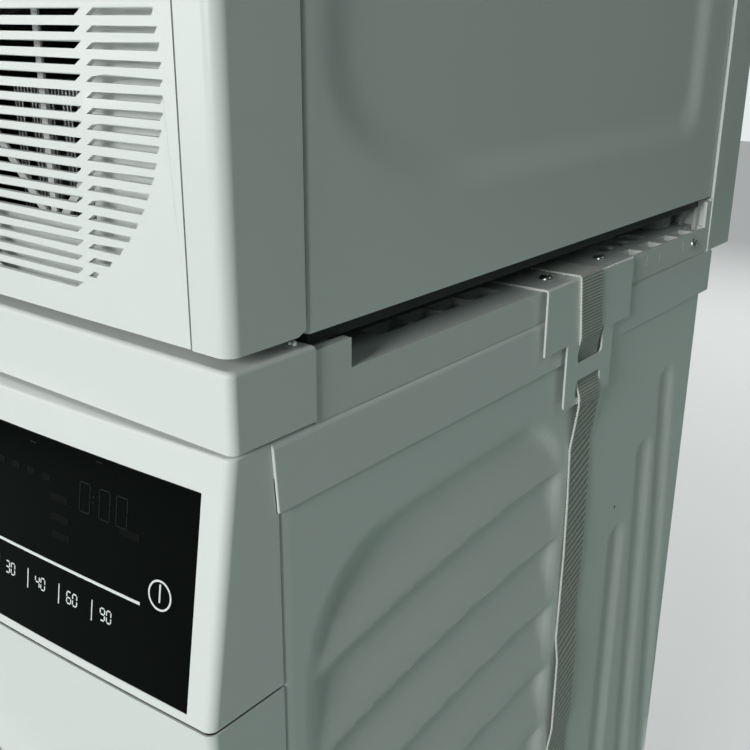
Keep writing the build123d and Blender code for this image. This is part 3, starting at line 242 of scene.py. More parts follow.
MATERIALS = {
    "white_enamel": enamel("white_enamel", (0.775, 0.81, 0.79)),
    "white_plastic": moulding("white_plastic", (0.8, 0.83, 0.815), 0.36, Coat_Weight=0.1),
    "kit_plastic": moulding("kit_plastic", (0.78, 0.81, 0.79), 0.46, 1200.0, 0.00006),
    "black_glass": black_glass(),
    "clear_glass": clear_glass(),
    "grey_rubber": moulding("grey_rubber", (0.2, 0.205, 0.205), 0.62, 900.0, 0.00008),
    "dark_plastic": moulding("dark_plastic", (0.022, 0.024, 0.024), 0.5, 900.0, 0.00008),
    "grey_plastic": moulding("grey_plastic", (0.42, 0.44, 0.43), 0.5, 1100.0, 0.00006),
    "tub_plastic": moulding("tub_plastic", (0.5, 0.5, 0.47), 0.6, 300.0, 0.0002),
    "stainless": stainless(),
    "zinc_steel": zinc_steel(),
    "hinge_metal": enamel("hinge_metal", (0.7, 0.72, 0.71), 0.34),
    "pulley_metal": bare_metal("pulley_metal", (0.56, 0.56, 0.55), 0.42, 0),
    "motor_metal": moulding("motor_metal", (0.07, 0.075, 0.08), 0.55, 500.0, 0.0002),
    "belt_rubber": moulding("belt_rubber", (0.018, 0.018, 0.018), 0.7, 700.0, 0.0002),
    "concrete": concrete(),
    "webbing": webbing("webbing", (0.5, 0.52, 0.48)),
    "felt": felt(),
    "fins": fins(),
    "can_metal": moulding("can_metal", (0.014, 0.014, 0.015), 0.35, 300.0, 0.00006),
}
# The front edge bead's pale colour is a painted highlight, standing for light falling on that edge.
SELVEDGE_HIGHLIGHT = webbing("painted_selvedge_highlight", (0.86, 0.88, 0.84)).material
# Dark inner strap layer that shows only in the rib valleys: painted shade in the valleys between the ribs.
GROOVE_SHADE = webbing("strap_groove_shade", (0.3, 0.32, 0.295)).material
PRINT_WHITE = moulding("print_white", (0.82, 0.85, 0.84), 0.5).material
PRINT_GHOST = moulding("print_ghost", (0.014, 0.017, 0.017), 0.4, Specular_IOR_Level=0.1).material
PRINT_DARK = moulding("print_dark", (0.0022, 0.0027, 0.0027), 0.4, Specular_IOR_Level=0.1).material


def finish_of(slot):
    return MATERIALS[slot].material


# ---------------------------------------------------------------- mesh helpers
def piece_from(name, bm, angle=35.0):
    """A new object from a bmesh, smooth except over edges sharper than angle."""
    mesh = bpy.data.meshes.new(name)
    bm.to_mesh(mesh)
    bm.free()
    mesh.shade_smooth()
    mesh.set_sharp_from_angle(angle=math.radians(angle))
    made = bpy.data.objects.new(name, mesh)
    bpy.context.scene.collection.objects.link(made)
    return made


def dress(piece, node, stands_for=True, slot=None, finish=None):
    """Gives a piece its node's body and finish, and lets it stand for the node."""
    slot = slot or SLOT[node]
    piece.data.materials.clear()
    piece.data.materials.append(finish or finish_of(slot))
    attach(piece, BODY[node])
    if stands_for:
        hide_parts(node)
    return piece


def solid_of(node):
    """The node's solid as a bmesh with flat faces made whole again."""
    bm = bmesh.new()
    bm.from_mesh(NODES[node].data)
    bmesh.ops.remove_doubles(bm, verts=bm.verts, dist=2e-6)
    bmesh.ops.dissolve_limit(bm, angle_limit=math.radians(0.5), verts=bm.verts, edges=bm.edges)
    return bm


def round_edges(bm, width, chosen=lambda middle: True, steps=3, sharp=28.0):
    """Rounds the sharp edges whose middles are chosen."""
    edges = []
    for edge in bm.edges:
        if len(edge.link_faces) == 2 and edge.calc_face_angle(0) > math.radians(sharp):
            if chosen((edge.verts[0].co + edge.verts[1].co) / 2):
                edges.append(edge)
    bmesh.ops.bevel(
        bm, geom=edges, offset=width, segments=steps, profile=0.5, affect="EDGES", clamp_overlap=True
    )


def weigh_normals(mesh, angle=35.0):
    """Shades each corner by the area of the faces round it, so that flats stay flat beside rounded edges."""
    limit = math.cos(math.radians(angle))
    around = [[] for _ in mesh.vertices]
    for face in mesh.polygons:
        for vertex in face.vertices:
            around[vertex].append((face.normal.copy(), face.area))
    normals = []
    for face in mesh.polygons:
        for vertex in face.vertices:
            total = face.normal * 1e-9
            for normal, area in around[vertex]:
                if normal.dot(face.normal) > limit:
                    total = total + normal * area
            normals.append(total.normalized())
    mesh.normals_split_custom_set(normals)


def softened(node, *rounds):
    """A copy of a CAD node with its sharp edges rounded, standing for it."""
    bm = solid_of(node)
    for width, chosen in rounds:
        round_edges(bm, width, chosen)
    piece = piece_from(node + "_soft", bm)
    weigh_normals(piece.data)
    return dress(piece, node)


def everywhere(middle):
    return True


def fascia_crest(middle):
    """On the edge where the washer's leaning fascia meets its top."""
    return middle.z > 0.848 and middle.y < -0.28


def grille_sill(middle):
    """On the upper edge of a slot in the dryer flap's grille."""
    across = Vector((middle.x - GRILLE_X, middle.z - GRILLE_Z))
    row = (middle.z - GRILLE_Z) / SLOT_PITCH + SLOT_ROWS / 2 + 0.5
    return across.length < GRILLE_R and middle.y < -0.299 and 0.15 < row - round(row) < 0.34


CREST = 1.6 * MM
SILL = 0.9 * MM
GRILLE_X, GRILLE_Z, GRILLE_R = 0.153, 1.0253, 0.1165
SLOT_PITCH = 7.34 * MM
SLOT_ROWS = 30
SOFT_EDGES = {
    "washer_worktop": 0.8,
    "washer_display": 0.5,
    "washer_front_panel": 0.4,
    "filter_flap": 0.6,
    "detergent_drawer": 0.6,
    "washer_door_ring": 1.5,
    "dryer_door_ring": 1.5,
    "washer_door_hinge": 1.0,
    "dryer_door_hinge": 1.0,
    "kit_frame": 0.7,
    "kit_shelf": 0.8,
    "rear_stops": 0.4,
    "strap_brackets": 0.2,
    "cam_buckle": 0.4,
    "cam_lever": 0.6,
    "dryer_base": 0.6,
    "dryer_front_panel": 0.4,
    "dryer_fascia": 0.5,
    "water_container": 0.7,
    "dryer_top": 0.8,
    "washer_rear_panel": 0.4,
    "dryer_rear_panel": 0.4,
    "pump_filter_cap": 0.6,
    "lint_filter": 0.5,
    "inlet_valve": 0.5,
}


def soft_edges():
    for node, width in SOFT_EDGES.items():
        softened(node, (width * MM, everywhere))
    for node, large, chosen, small in (
        ("washer_fascia", CREST, fascia_crest, 0.5 * MM),
        ("dryer_flap", SILL, grille_sill, 0.3 * MM),
    ):
        softened(node, (large, chosen), (small, lambda middle: not chosen(middle)))


# ---------------------------------------------------------------- pressed side panels
def smooth(t):
    t = min(max(t, 0.0), 1.0)
    return t * t * (3 - 2 * t)


def least(a, b, blend):
    """The smaller of two values, with a soft change from one to the other."""
    share = min(max(0.5 + (b - a) / (2 * blend), 0.0), 1.0)
    return b + (a - b) * share - blend * share * (1 - share)


def spaced(start, end, step):
    count = max(1, round((end - start) / step))
    return [start + (end - start) * i / count for i in range(count + 1)]


def inside_box(y, z, low, high, corner):
    """Distance in from the edge of a rectangle with rounded corners, below zero outside it."""
    across = abs(y - (low[0] + high[0]) / 2) - (high[0] - low[0]) / 2 + corner
    up = abs(z - (low[1] + high[1]) / 2) - (high[1] - low[1]) / 2 + corner
    outside = math.hypot(max(across, 0.0), max(up, 0.0))
    return corner - outside - min(max(across, up), 0.0)


WASHER_TOP = 850.0
FIELD_REAR = 45.0
FIELD_LOW, FIELD_HIGH = (-243.0, 128.0), (FIELD_REAR, 776.0)
RIDGE_TOP = 723.0
RIDGE_PITCH = 60.0
RIDGES = 10
SCOOP_DEPTH = 7.0
GROOVES = ((250.0, 756.0, 108.0, 0.1), (208.0, 695.0, 150.0, 0.06), (163.0, 626.0, 215.0, 0.0))
GROOVE_HALF = 17.0
GROOVE_DEPTH = 4.5


def washer_relief(y, z):
    """Depth in mm of the washer's side at (y, z): nested scoops in a round-cornered field, and grooves."""
    run = (FIELD_REAR - y) / 195.0
    field = inside_box(y, z + 6 * run * run, FIELD_LOW, FIELD_HIGH, 68.0)
    depth = 0.0
    if field > 0:
        level = (RIDGE_TOP - z - 14 * run * run) / RIDGE_PITCH
        if level < 0 or level > RIDGES:
            share = min(field / 45.0, 1.0) if level < 0 else 1.0
        else:
            share = level - math.floor(level)
        profile = smooth(share / 0.17) * (1 - 0.85 * smooth((share - 0.1) / 0.9))
        if level < 0:
            profile = 1 - 0.85 * smooth((level + 0.75) / 0.75)
        wall = least(field, (FIELD_REAR - y) * 1.1, 6.0)
        depth = max(least(SCOOP_DEPTH * profile, wall * 0.85, 1.2), 0.0)
    for middle, top, foot, lean in GROOVES:
        across = (y - middle - lean * (660.0 - z)) / GROOVE_HALF
        beyond = max(z - top + GROOVE_HALF, foot + GROOVE_HALF - z, 0.0) / GROOVE_HALF
        near = math.hypot(across, beyond)
        if near < 1:
            depth = max(depth, GROOVE_DEPTH * smooth((1 - near) / 0.75))
    return depth


PRESSED = ((-232, 1640), (250, 1640), (250, 953), (-150, 953), (-232, 1000))


def dryer_relief(y, z):
    """Depth in mm of the dryer's side: one large field with a slanted corner and soft edges."""
    inward = 200.0
    for (y0, z0), (y1, z1) in zip(PRESSED, PRESSED[1:] + PRESSED[:1]):
        length = math.hypot(y1 - y0, z1 - z0)
        edge = ((y - y0) * (z1 - z0) - (z - z0) * (y1 - y0)) / length
        inward = least(inward, edge, 30.0)
    return 3.6 * smooth(inward / 24.0)


def pressed_side(name, node, side, relief, step):
    """One folded side sheet with turned-in front and rear edges and a pressed outer face."""
    low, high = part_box(node)
    outer, bend, flange, sheet = high[0], 2.6 * MM, 8 * MM, 1.2 * MM
    turn = [i / 4 * math.pi / 2 for i in range(5)]
    front = [(bend * (1 - math.sin(a)), low[1] + bend * (1 - math.cos(a))) for a in turn]
    rear = [(inset, low[1] + high[1] - y) for inset, y in reversed(front)]
    middle = [(0.0, y) for y in spaced(low[1] + bend, high[1] - bend, step[0] * MM)[1:-1]]
    profile = [(flange, low[1]), *front, *middle, *rear, (flange, high[1])]
    bm = bmesh.new()
    rows = []
    for z in spaced(low[2], high[2], step[1] * MM):
        row = []
        for inset, y in profile:
            dip = relief(y / MM, z / MM) * MM if inset == 0 else 0.0
            row.append(bm.verts.new((side * (outer - inset - dip), y, z)))
        rows.append(row)
    faces = []
    for below, above in zip(rows, rows[1:]):
        for i in range(len(profile) - 1):
            corners = [below[i], below[i + 1], above[i + 1], above[i]]
            faces.append(bm.faces.new(corners if side > 0 else corners[::-1]))
    bm.normal_update()
    bmesh.ops.solidify(bm, geom=faces, thickness=sheet)
    return dress(piece_from(name, bm, 40.0), node)


# ---------------------------------------------------------------- tie strap
STRAP_WIDTH = 35.0
STRAP_STEP = 0.625
STRAP_LINE = (
    (0, 875.9), (305.2, 875.9), (305.2, 828), (301.2, 813), (301.2, 793), (305.2, 780), (305.2, 772),
    (299.3, 735), (300.3, 640), (299.3, 560), (302, 540), (302, 470), (299.3, 450), (299.3, 13.9), (0, 13.9),
)
STRAP_DRIFT = ((900, 57.0), (874, 57.0), (820, 64.5), (785, 68.0), (740, 71.0), (690, 73.0), (0, 72.0))


def between(points, at):
    """Straight-line reading of a table of (place, value) whose places run downwards."""
    for (high, first), (low, second) in zip(points, points[1:]):
        if at >= low:
            return second + (first - second) * min((at - low) / (high - low), 1.0)
    return points[-1][1]


def strap_rings():
    """Centres of the strap every STRAP_STEP mm as x, y and z, with rounded corners."""
    left = [(-x, z) for x, z in STRAP_LINE[-2:0:-1]]
    corners = [*STRAP_LINE, *left]
    path = []
    for (x0, z0), (x1, z1) in zip(corners, corners[1:] + corners[:1]):
        count = max(1, round(math.hypot(x1 - x0, z1 - z0) / STRAP_STEP))
        path += [(x0 + (x1 - x0) * i / count, z0 + (z1 - z0) * i / count) for i in range(count)]
    reach = 3
    rings = []
    for i in range(len(path)):
        near = [path[(i + j) % len(path)] for j in range(-reach, reach + 1)]
        x, z = (sum(values) / len(near) for values in zip(*near))
        right = smooth(x / 290.0 * 0.5 + 0.5)
        y = 66.0 + (between(STRAP_DRIFT, z) - 66.0) * right
        rings.append((x, y, z))
    return rings


def tube_round(rings, section):
    """Closed loop of rings: section(i) gives (across, out) points round each centre."""
    bm = bmesh.new()
    loops = []
    count = len(rings)
    for i, (x, y, z) in enumerate(rings):
        before, after = rings[i - 1], rings[(i + 1) % count]
        along = Vector((after[0] - before[0], 0, after[2] - before[2])).normalized()
        out = Vector((-along.z, 0, along.x))
        loop = []
        for across, lift in section(i, z):
            loop.append(bm.verts.new((Vector((x, y + across, z)) + out * lift) * MM))
        loops.append(loop)
    for first, second in zip(loops, loops[1:] + loops[:1]):
        for j in range(len(first)):
            k = (j + 1) % len(first)
            bm.faces.new((first[j], first[k], second[k], second[j]))
    bmesh.ops.recalc_face_normals(bm, faces=bm.faces)
    return bm


def add_strap():
    """Woven strap with cross ribs, a dark inner layer that shows in the rib valleys as painted shade, and a
    twisted bead along each edge, the front one pale as a painted highlight.
    """
    rings = strap_rings()
    half = STRAP_WIDTH / 2 - 1.2
    outer = [-half + 2 * half * j / 8 for j in range(9)]

    def weave(i, z):
        """Section of the web: plain ribs over the bracket, slanting ones below it."""
        along = i * STRAP_STEP
        points = []
        for across in outer:
            if z > 770:
                rib = 0.45 * math.sin(2 * math.pi * along / 2.5)
            else:
                slant = along + 0.35 * across + 0.9 * math.sin(along / 31.0)
                rib = 0.6 * math.sin(2 * math.pi * slant / 6.25) + 0.12 * math.sin(2 * math.pi * along / 2.5)
            points.append((across, 0.3 + rib))
        return [*points, (half, -0.7), (-half, -0.7)]

    # Inner layer just under the web, showing through in the rib valleys as painted shade.
    def groove_shade(i, z):
        return [(-half, 0.25), (half, 0.25), (half, -0.6), (-half, -0.6)]

    def bead(offset, radius, turn):
        def section(i, z):
            twist = radius * (1 + 0.25 * math.sin(2 * math.pi * i * STRAP_STEP / 2.5 + turn))
            ring = [k / 6 * 2 * math.pi for k in range(6)]
            return [(offset + twist * math.cos(a), 0.7 * twist * math.sin(a) - 0.1) for a in ring]
        return section

    dress(piece_from("tie_strap_web", tube_round(rings, weave), 60.0), "tie_strap")
    dress(piece_from("tie_strap_groove_shade", tube_round(rings, groove_shade), 60.0), "tie_strap", finish=GROOVE_SHADE)
    for name, offset, radius, turn in (("front", -half - 0.2, 1.3, 0.0), ("rear", half + 0.4, 0.7, 2.0)):
        piece = piece_from("tie_strap_edge_" + name, tube_round(rings, bead(offset, radius, turn)), 80.0)
        # Only the front bead gets the painted highlight; the rear bead keeps the strap's own colour.
        dress(piece, "tie_strap", finish=None if name == "rear" else SELVEDGE_HIGHLIGHT)


# ---------------------------------------------------------------- screws
def add_screw_head(bm, place, radius, height):
    """Pan head with a cross recess, lying in its own frame with the crown along +Z."""
    segments = 24
    half, reach = radius * 0.11, radius * 0.46
    rings = []
    for share, level in ((0.98, -0.4), (1.0, 0.0), (0.9, 0.62), (0.72, 0.9), (0.56, 1.0)):
        turns = [2 * math.pi * i / segments for i in range(segments)]
        spots = [(radius * share * math.cos(a), radius * share * math.sin(a), height * level) for a in turns]
        rings.append([bm.verts.new(place @ (Vector(spot) * MM)) for spot in spots])
    for lower, upper in zip(rings, rings[1:]):
        for i in range(segments):
            k = (i + 1) % segments
            bm.faces.new((lower[i], lower[k], upper[k], upper[i]))
    bm.faces.new(rings[0][::-1])
    cross = []
    for quarter in range(4):
        for across, out in ((-half, reach), (half, reach), (half, half)):
            turned = Vector((out, across, 0))
            angle = quarter * math.pi / 2
            x = turned.x * math.cos(angle) - turned.y * math.sin(angle)
            y = turned.x * math.sin(angle) + turned.y * math.cos(angle)
            cross.append((x, y))
    top = [bm.verts.new(place @ (Vector((x, y, height)) * MM)) for x, y in cross]
    deep = [bm.verts.new(place @ (Vector((x * 0.7, y * 0.7, height * 0.25)) * MM)) for x, y in cross]
    for i in range(len(top)):
        k = (i + 1) % len(top)
        bm.faces.new((top[i], top[k], deep[k], deep[i]))
    bm.faces.new(deep)
    rim = [bm.edges.get((rings[-1][i], rings[-1][(i + 1) % segments])) for i in range(segments)]
    lips = [bm.edges.get((top[i], top[(i + 1) % len(top)])) for i in range(len(top))]
    bmesh.ops.triangle_fill(bm, edges=rim + lips, use_beauty=True)


def screws(name, node, places, radius, height, stands_for=True, slot=None):
    """One piece with a screw head at each (point in mm, direction of the crown)."""
    bm = bmesh.new()
    for i, (point, crown) in enumerate(places):
        turn = Vector(crown).to_track_quat("Z", "Y").to_matrix().to_4x4()
        spin = Matrix.Rotation(0.6 + 1.9 * i, 4, "Z")
        add_screw_head(bm, Matrix.Translation(Vector(point) * MM) @ turn @ spin, radius, height)
    bmesh.ops.recalc_face_normals(bm, faces=bm.faces)
    return dress(piece_from(name, bm, 35.0), node, stands_for, slot)


def add_screws():
    head = 874.6
    kit = [((side * 285, y, head), (0, 0, 1)) for side in (-1, 1) for y in (24, 108)]
    kit += [((side * 300, 265, 862), (side, 0, 0)) for side in (-1, 1)]
    screws("kit_screw_heads", "kit_screws", kit, 5.0, 2.4)
    rear = [((x, 298.8, z), (0, 1, 0)) for x in (-284, 284) for z in (40, 290, 540, 770)]
    screws("washer_rear_screws", "washer_rear_panel", rear, 4.0, 1.9, False, "zinc_steel")
    rear = [((x, 296.8, z), (0, 1, 0)) for x in (-284, 284) for z in (925, 1180, 1430, 1680)]
    screws("dryer_rear_screws", "dryer_rear_panel", rear, 4.0, 1.9, False, "zinc_steel")


# ---------------------------------------------------------------- prints on glass and fascia
LEAN = 0.156
BOW = 11.0


def washer_skin(x, z):
    """Point in mm on the washer's leaning, bowed fascia."""
    return Vector((x, -300 - LEAN * (WASHER_TOP - z) - BOW * (1 - (x / 300) ** 2), z))


def dryer_skin(x, z):
    return Vector((x, -300.0, z))


def stroke(bm, skin, start, end, width):
    """Thin raised bar that follows a skin from one (x, z) to another."""
    run = Vector((end[0] - start[0], end[1] - start[1]))
    aside = Vector((-run.y, run.x)).normalized() * width / 2
    count = max(1, round(run.length / 15))
    sections = []
    for i in range(count + 1):
        x, z = start[0] + run.x * i / count, start[1] + run.y * i / count
        rim = []
        for lift, hand in ((-0.1, -1), (-0.1, 1), (0.08, 1), (0.08, -1)):
            spot = skin(x + aside.x * hand, z + aside.y * hand)
            rim.append(bm.verts.new((spot + Vector((0, -lift, 0))) * MM))
        sections.append(rim)
    for first, second in zip(sections, sections[1:]):
        for j in range(4):
            k = (j + 1) % 4
            bm.faces.new((first[j], first[k], second[k], second[j]))
    bm.faces.new(sections[0][::-1])
    bm.faces.new(sections[-1])


def arc(bm, skin, centre, radius, start, end, width, count=20):
    spots = []
    for i in range(count + 1):
        angle = math.radians(start + (end - start) * i / count)
        spots.append((centre[0] + radius * math.sin(angle), centre[1] + radius * math.cos(angle)))
    for first, second in zip(spots, spots[1:]):
        stroke(bm, skin, first, second, width)


BARS = {
    "a": ((0, 2), (1, 2)), "b": ((1, 2), (1, 1)), "c": ((1, 1), (1, 0)), "d": ((0, 0), (1, 0)),
    "e": ((0, 1), (0, 0)), "f": ((0, 2), (0, 1)), "g": ((0, 1), (1, 1)),
}
DIGITS = {
    "0": "abcdef", "1": "bc", "2": "abged", "3": "abgcd", "4": "fgbc", "5": "afgcd",
    "6": "afgedc", "7": "abc", "8": "abcdefg", "9": "abcdfg",
}


def digits(bm, skin, text, corner, height, width, pitch=1.45):
    """Plain seven-bar figures from their lower left corner."""
    half = height / 2
    for i, sign in enumerate(text):
        left = corner[0] + i * half * pitch
        for bar in DIGITS[sign]:
            ends = [(left + x * half, corner[1] + z * half) for x, z in BARS[bar]]
            trim = Vector(ends[1]) - Vector(ends[0])
            trim = trim.normalized() * width * 0.6
            start = (ends[0][0] + trim.x, ends[0][1] + trim.y)
            end = (ends[1][0] - trim.x, ends[1][1] - trim.y)
            stroke(bm, skin, start, end, width)


def power_sign(bm, skin, centre, radius, width):
    """Bar within a closed ring, for a key that switches both on and off."""
    arc(bm, skin, centre, radius, 0, 360, width, 30)
    stroke(bm, skin, (centre[0], centre[1] + radius * 0.78), (centre[0], centre[1] - radius * 0.5), width)


def print_piece(name, node, draw, finish, slot):
    """One thin printed piece on top of a node, drawn by a function."""
    bm = bmesh.new()
    draw(bm)
    bmesh.ops.recalc_face_normals(bm, faces=bm.faces)
    dress(piece_from(name, bm, 30.0), node, False, slot, finish)


def washer_print(bm):
    """White line, dividers with plain numbers and the power sign at the foot of the washer's glass."""
    line = WASHER_TOP - 91.5
    stroke(bm, washer_skin, (56, line), (243, line), 1.7)
    for i, number in enumerate(("20", "30", "40", "60", "90")):
        left = 64.5 + 28.3 * (i + 1)
        stroke(bm, washer_skin, (left, line - 10.5), (left, line - 22.5), 0.8)
        digits(bm, washer_skin, number, (left + 7, line - 19.5), 7.0, 0.8)
    power_sign(bm, washer_skin, (257.2, WASHER_TOP - 82.1), 7.9, 1.1)


def washer_ghost(bm):
    """Unlit clock behind the washer's glass."""
    digits(bm, washer_skin, "0", (192.5, WASHER_TOP - 54.3), 16.6, 0.7)
    digits(bm, washer_skin, "00", (208.5, WASHER_TOP - 54.3), 16.6, 0.7, 1.62)
    for z in (-43.7, -47.0):
        stroke(bm, washer_skin, (203.2, WASHER_TOP + z), (204.4, WASHER_TOP + z), 1.2)
    for x, z in ((148.5, -26.0), (204.5, -23.5)):
        stroke(bm, washer_skin, (x, WASHER_TOP + z), (x + 5, WASHER_TOP + z), 0.7)


def washer_fields(bm):
    """Unlit touch fields behind the washer's glass."""
    for x, z in ((167, -52.5), (168.5, -63.8), (170, -73.9), (225, -56.0)):
        stroke(bm, washer_skin, (x, WASHER_TOP + z), (x + 15.5, WASHER_TOP + z), 4.2)
    for i in range(4):
        stroke(bm, washer_skin, (118 + 14 * i, WASHER_TOP - 43), (125 + 14 * i, WASHER_TOP - 43), 4.0)


def dryer_print(bm):
    for i, number in enumerate(("1", "2", "3", "4")):
        x = 76 + 27 * i
        stroke(bm, dryer_skin, (x + 17, 1618), (x + 17, 1630), 0.8)
        digits(bm, dryer_skin, number, (x, 1620.5), 7.0, 0.8)
    stroke(bm, dryer_skin, (66, 1640), (240, 1640), 1.4)
    power_sign(bm, dryer_skin, (258, 1627), 7.9, 1.1)


def dryer_ghost(bm):
    digits(bm, dryer_skin, "0", (160, 1652), 17.0, 0.7)
    digits(bm, dryer_skin, "00", (176, 1652), 17.0, 0.7, 1.62)
    for z in (1658, 1663):
        stroke(bm, dryer_skin, (171.2, z), (172.4, z), 1.2)


def dial_marks(bm, skin, centre, radius):
    """Ticks round a programme dial."""
    for i in range(12):
        angle = math.radians(15 + 30 * i)
        ray = Vector((math.sin(angle), math.cos(angle)))
        near, far = ray * radius, ray * (radius + 3.2)
        start = (centre[0] + near.x, centre[1] + near.y)
        stroke(bm, skin, start, (centre[0] + far.x, centre[1] + far.y), 0.9)


def add_prints():
    """Prints on both glasses, and the marks around both dials."""
    print_piece("washer_glass_print", "washer_display", washer_print, PRINT_WHITE, "white_plastic")
    print_piece("washer_glass_ghost", "washer_display", washer_ghost, PRINT_GHOST, "dark_plastic")
    print_piece("washer_glass_fields", "washer_display", washer_fields, PRINT_DARK, "dark_plastic")
    print_piece("dryer_glass_print", "dryer_display", dryer_print, PRINT_WHITE, "white_plastic")
    print_piece("dryer_glass_ghost", "dryer_display", dryer_ghost, PRINT_GHOST, "dark_plastic")

    def washer_dial(bm):
        dial_marks(bm, washer_skin, (0, 775), 37.0)

    def dryer_dial(bm):
        dial_marks(bm, dryer_skin, (0, 1645), 34.0)

    print_piece("washer_dial_marks", "washer_fascia", washer_dial, None, "grey_plastic")
    print_piece("dryer_dial_marks", "dryer_fascia", dryer_dial, None, "grey_plastic")


# ---------------------------------------------------------------- small fittings
FOOT_XS = (-253, 253)
FOOT_YS = (-212, 262)


def add_dryer_feet():
    """Round feet with an upright knurl and a rounded sole."""
    bm = bmesh.new()
    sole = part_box("dryer_feet")[0][2]
    rings = ((19, 0.0), (22.5, 0.8), (23.2, 2.5), (23.2, 18.5), (22, 20), (12, 20), (12, 23))
    segments = 144
    for x in FOOT_XS:
        for y in FOOT_YS:
            loops = []
            for radius, level in rings:
                loop = []
                for i in range(segments):
                    angle = 2 * math.pi * i / segments
                    ribbed = radius - (0.7 if 2 < level < 19 and i % 4 < 2 else 0.0)
                    spot = Vector((x + ribbed * math.cos(angle), y + ribbed * math.sin(angle), 0)) * MM
                    spot.z = sole + level * MM
                    loop.append(bm.verts.new(spot))
                loops.append(loop)
            for lower, upper in zip(loops, loops[1:]):
                for i in range(segments):
                    k = (i + 1) % segments
                    bm.faces.new((lower[i], lower[k], upper[k], upper[i]))
            bm.faces.new(loops[0][::-1])
            bm.faces.new(loops[-1])
    dress(piece_from("dryer_feet_knurled", bm, 30.0), "dryer_feet")


SPOT_Y, SPOT_Z = 0.153, 0.645


def add_side_dark_spots():
    """Small dark disc on each washer side, ahead of the grooves."""
    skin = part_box("washer_side_panels")[1][0]
    for side in (-1, 1):
        bm = bmesh.new()
        turn = Matrix.Rotation(side * math.pi / 2, 4, "Y")
        place = Matrix.Translation(Vector((side * (skin - 0.3 * MM), SPOT_Y, SPOT_Z))) @ turn
        bmesh.ops.create_cone(
            bm, cap_ends=True, segments=24, radius1=1.7 * MM, radius2=1.4 * MM, depth=0.7 * MM, matrix=place
        )
        name = "washer_side_dark_spot_" + ("right" if side > 0 else "left")
        dress(piece_from(name, bm), "washer_side_panels", False, "dark_plastic")


def add_seam_pads():
    """Small white beads at the foot of each seam between the dryer's front and side."""
    bm = bmesh.new()
    for side in (-1, 1):
        for y, z, radius in ((-252.7, 897.0, 1.5), (-256.1, 898.0, 0.9)):
            place = Matrix.Translation(Vector((side * 297, y, z)) * MM)
            bmesh.ops.create_uvsphere(bm, u_segments=16, v_segments=10, radius=radius * MM, matrix=place)
    dress(piece_from("dryer_seam_pads", bm, 60.0), "dryer_base", False, "white_plastic")


# ---------------------------------------------------------------- camera, light and floor
CAMERA_AT = (0.6191, -0.5964, 1.0482)
CAMERA_TURN = math.radians(38.26)  # towards -X from straight ahead
CAMERA_DIP = math.radians(19.65)
CAMERA_ROLL = math.radians(0.34)
CAMERA_LENS = 47.73


def add_camera():
    """Camera at the photograph's angle, without shift."""
    data = bpy.data.cameras.new("camera")
    data.lens = CAMERA_LENS
    data.sensor_width = 36.0
    data.clip_start = 0.02
    camera = bpy.data.objects.new("camera", data)
    camera.location = CAMERA_AT
    level = Euler((math.pi / 2 - CAMERA_DIP, 0, CAMERA_TURN)).to_matrix()
    camera.rotation_euler = (level @ Euler((0, 0, CAMERA_ROLL)).to_matrix()).to_euler()
    bpy.context.scene.collection.objects.link(camera)
    bpy.context.scene.camera = camera


def add_lamp(name, place, aim, size, power, colour):
    """Square area lamp that faces the point it aims at; size in metres and power in watts."""
    data = bpy.data.lights.new(name, "AREA")
    data.shape = "SQUARE"
    data.size = size
    data.energy = power
    data.color = colour
    lamp = bpy.data.objects.new(name, data)
    lamp.location = place
    lamp.rotation_euler = (Vector(aim) - Vector(place)).to_track_quat("-Z", "Y").to_euler()
    bpy.context.scene.collection.objects.link(lamp)


WORLD_SEEN = 0.85
WORLD_ON_OBJECT = 0.05
FLOOR_GLOW = 0.45  # share of plain pale colour that the camera sees on the floor
FLOOR_ON_OBJECT = (0.34, 0.44, 0.4)  # colour of the light that the floor sends back
CENTRE = (0, 0, 0.95)
LAMPS = (  # name, place, aim, size, power, colour
    ("key", (0.82, -5.2, 2.4), CENTRE, 1.75, 196, (0.985, 1.0, 0.985)),
    ("fill", (-2.8, -2.6, 1.8), CENTRE, 2.4, 32, (1, 1, 1)),
    ("side", (2.7, 1.4, 3.3), (0.3, 0.1, 1.5), 1.6, 8.5, (0.8, 1.0, 0.93)),
    ("back", (-0.3, 3.8, 2.2), CENTRE, 1.6, 80, (1, 1, 1)),
)


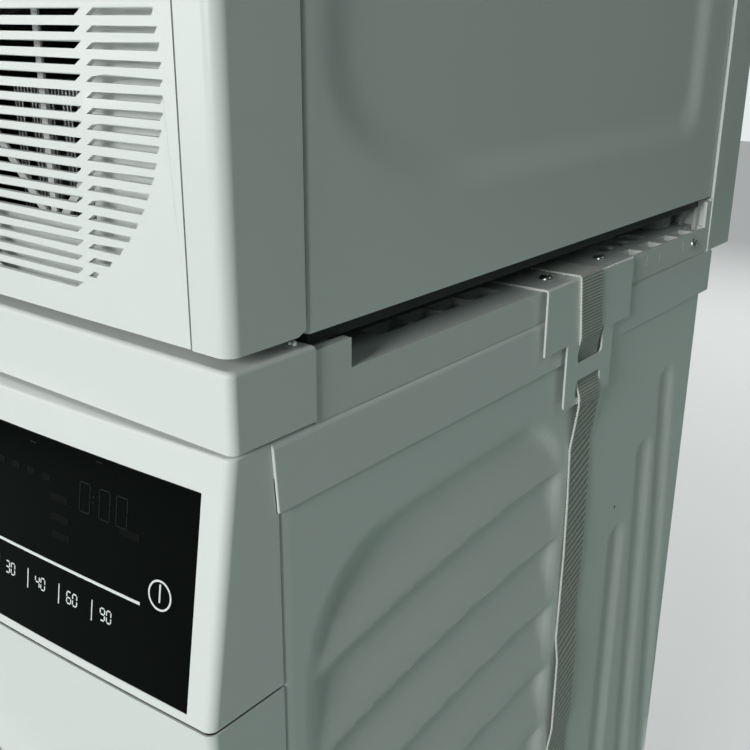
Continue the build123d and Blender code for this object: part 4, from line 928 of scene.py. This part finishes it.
def add_studio():
    """Pale floor, pale surroundings and soft lamps; the key rakes along the right side from the front."""
    bm = bmesh.new()
    bmesh.ops.create_grid(bm, x_segments=1, y_segments=1, size=9.0)
    floor = piece_from("floor", bm)
    floor.location.z = -0.0005
    paint = Shader("floor", (0.72, 0.735, 0.73), 0.7)
    paint.tint(paint.ramp(paint.noise(1.5, 3.0), 0.4, 0.7, 0.0, 0.3), (0.69, 0.705, 0.7))
    glow = paint.node("ShaderNodeEmission")
    glow.inputs["Color"].default_value = (0.8, 0.83, 0.83, 1)
    rays = paint.node("ShaderNodeLightPath")
    mixed = paint.node("ShaderNodeMixShader")
    paint.tint(paint.maths("SUBTRACT", 1.0, rays.outputs["Is Camera Ray"]), FLOOR_ON_OBJECT)
    paint.link(paint.maths("MULTIPLY", rays.outputs["Is Camera Ray"], FLOOR_GLOW), mixed.inputs[0])
    paint.link(paint.bsdf.outputs[0], mixed.inputs[1])
    paint.link(glow.outputs[0], mixed.inputs[2])
    paint.link(mixed.outputs[0], paint.tree.nodes["Material Output"].inputs["Surface"])
    floor.data.materials.append(paint.material)
    add_world()
    for lamp in LAMPS:
        add_lamp(*lamp)


def add_world():
    """Pale surroundings that the camera sees, with weaker and greener light from them on the object."""
    world = bpy.data.worlds.new("studio")
    world.use_nodes = True
    nodes, links = world.node_tree.nodes, world.node_tree.links
    rays = nodes.new("ShaderNodeLightPath")
    mixed = nodes.new("ShaderNodeMixShader")
    shades = (((0.84, 1.0, 0.93, 1), WORLD_ON_OBJECT), ((0.93, 0.98, 0.98, 1), WORLD_SEEN))
    for (colour, strength), socket in zip(shades, mixed.inputs[1:]):
        sky = nodes.new("ShaderNodeBackground")
        sky.inputs["Color"].default_value = colour
        sky.inputs["Strength"].default_value = strength
        links.new(sky.outputs[0], socket)
    links.new(rays.outputs["Is Camera Ray"], mixed.inputs[0])
    links.new(mixed.outputs[0], nodes["World Output"].inputs["Surface"])
    nodes.remove(nodes["Background"])
    bpy.context.scene.world = world


# ---------------------------------------------------------------- build
for node, cad in NODES.items():
    cad.data.materials.clear()
    cad.data.materials.append(finish_of(SLOT[node]))

soft_edges()
for side, name in ((-1, "left"), (1, "right")):
    pressed_side("washer_side_" + name, "washer_side_panels", side, washer_relief, (6.0, 3.5))
    pressed_side("dryer_side_" + name, "dryer_side_panels", side, dryer_relief, (6.0, 4.0))
add_strap()
add_screws()
add_prints()
add_dryer_feet()
add_side_dark_spots()
add_seam_pads()
add_camera()
add_studio()
bpy.context.scene.view_settings.view_transform = "Standard"
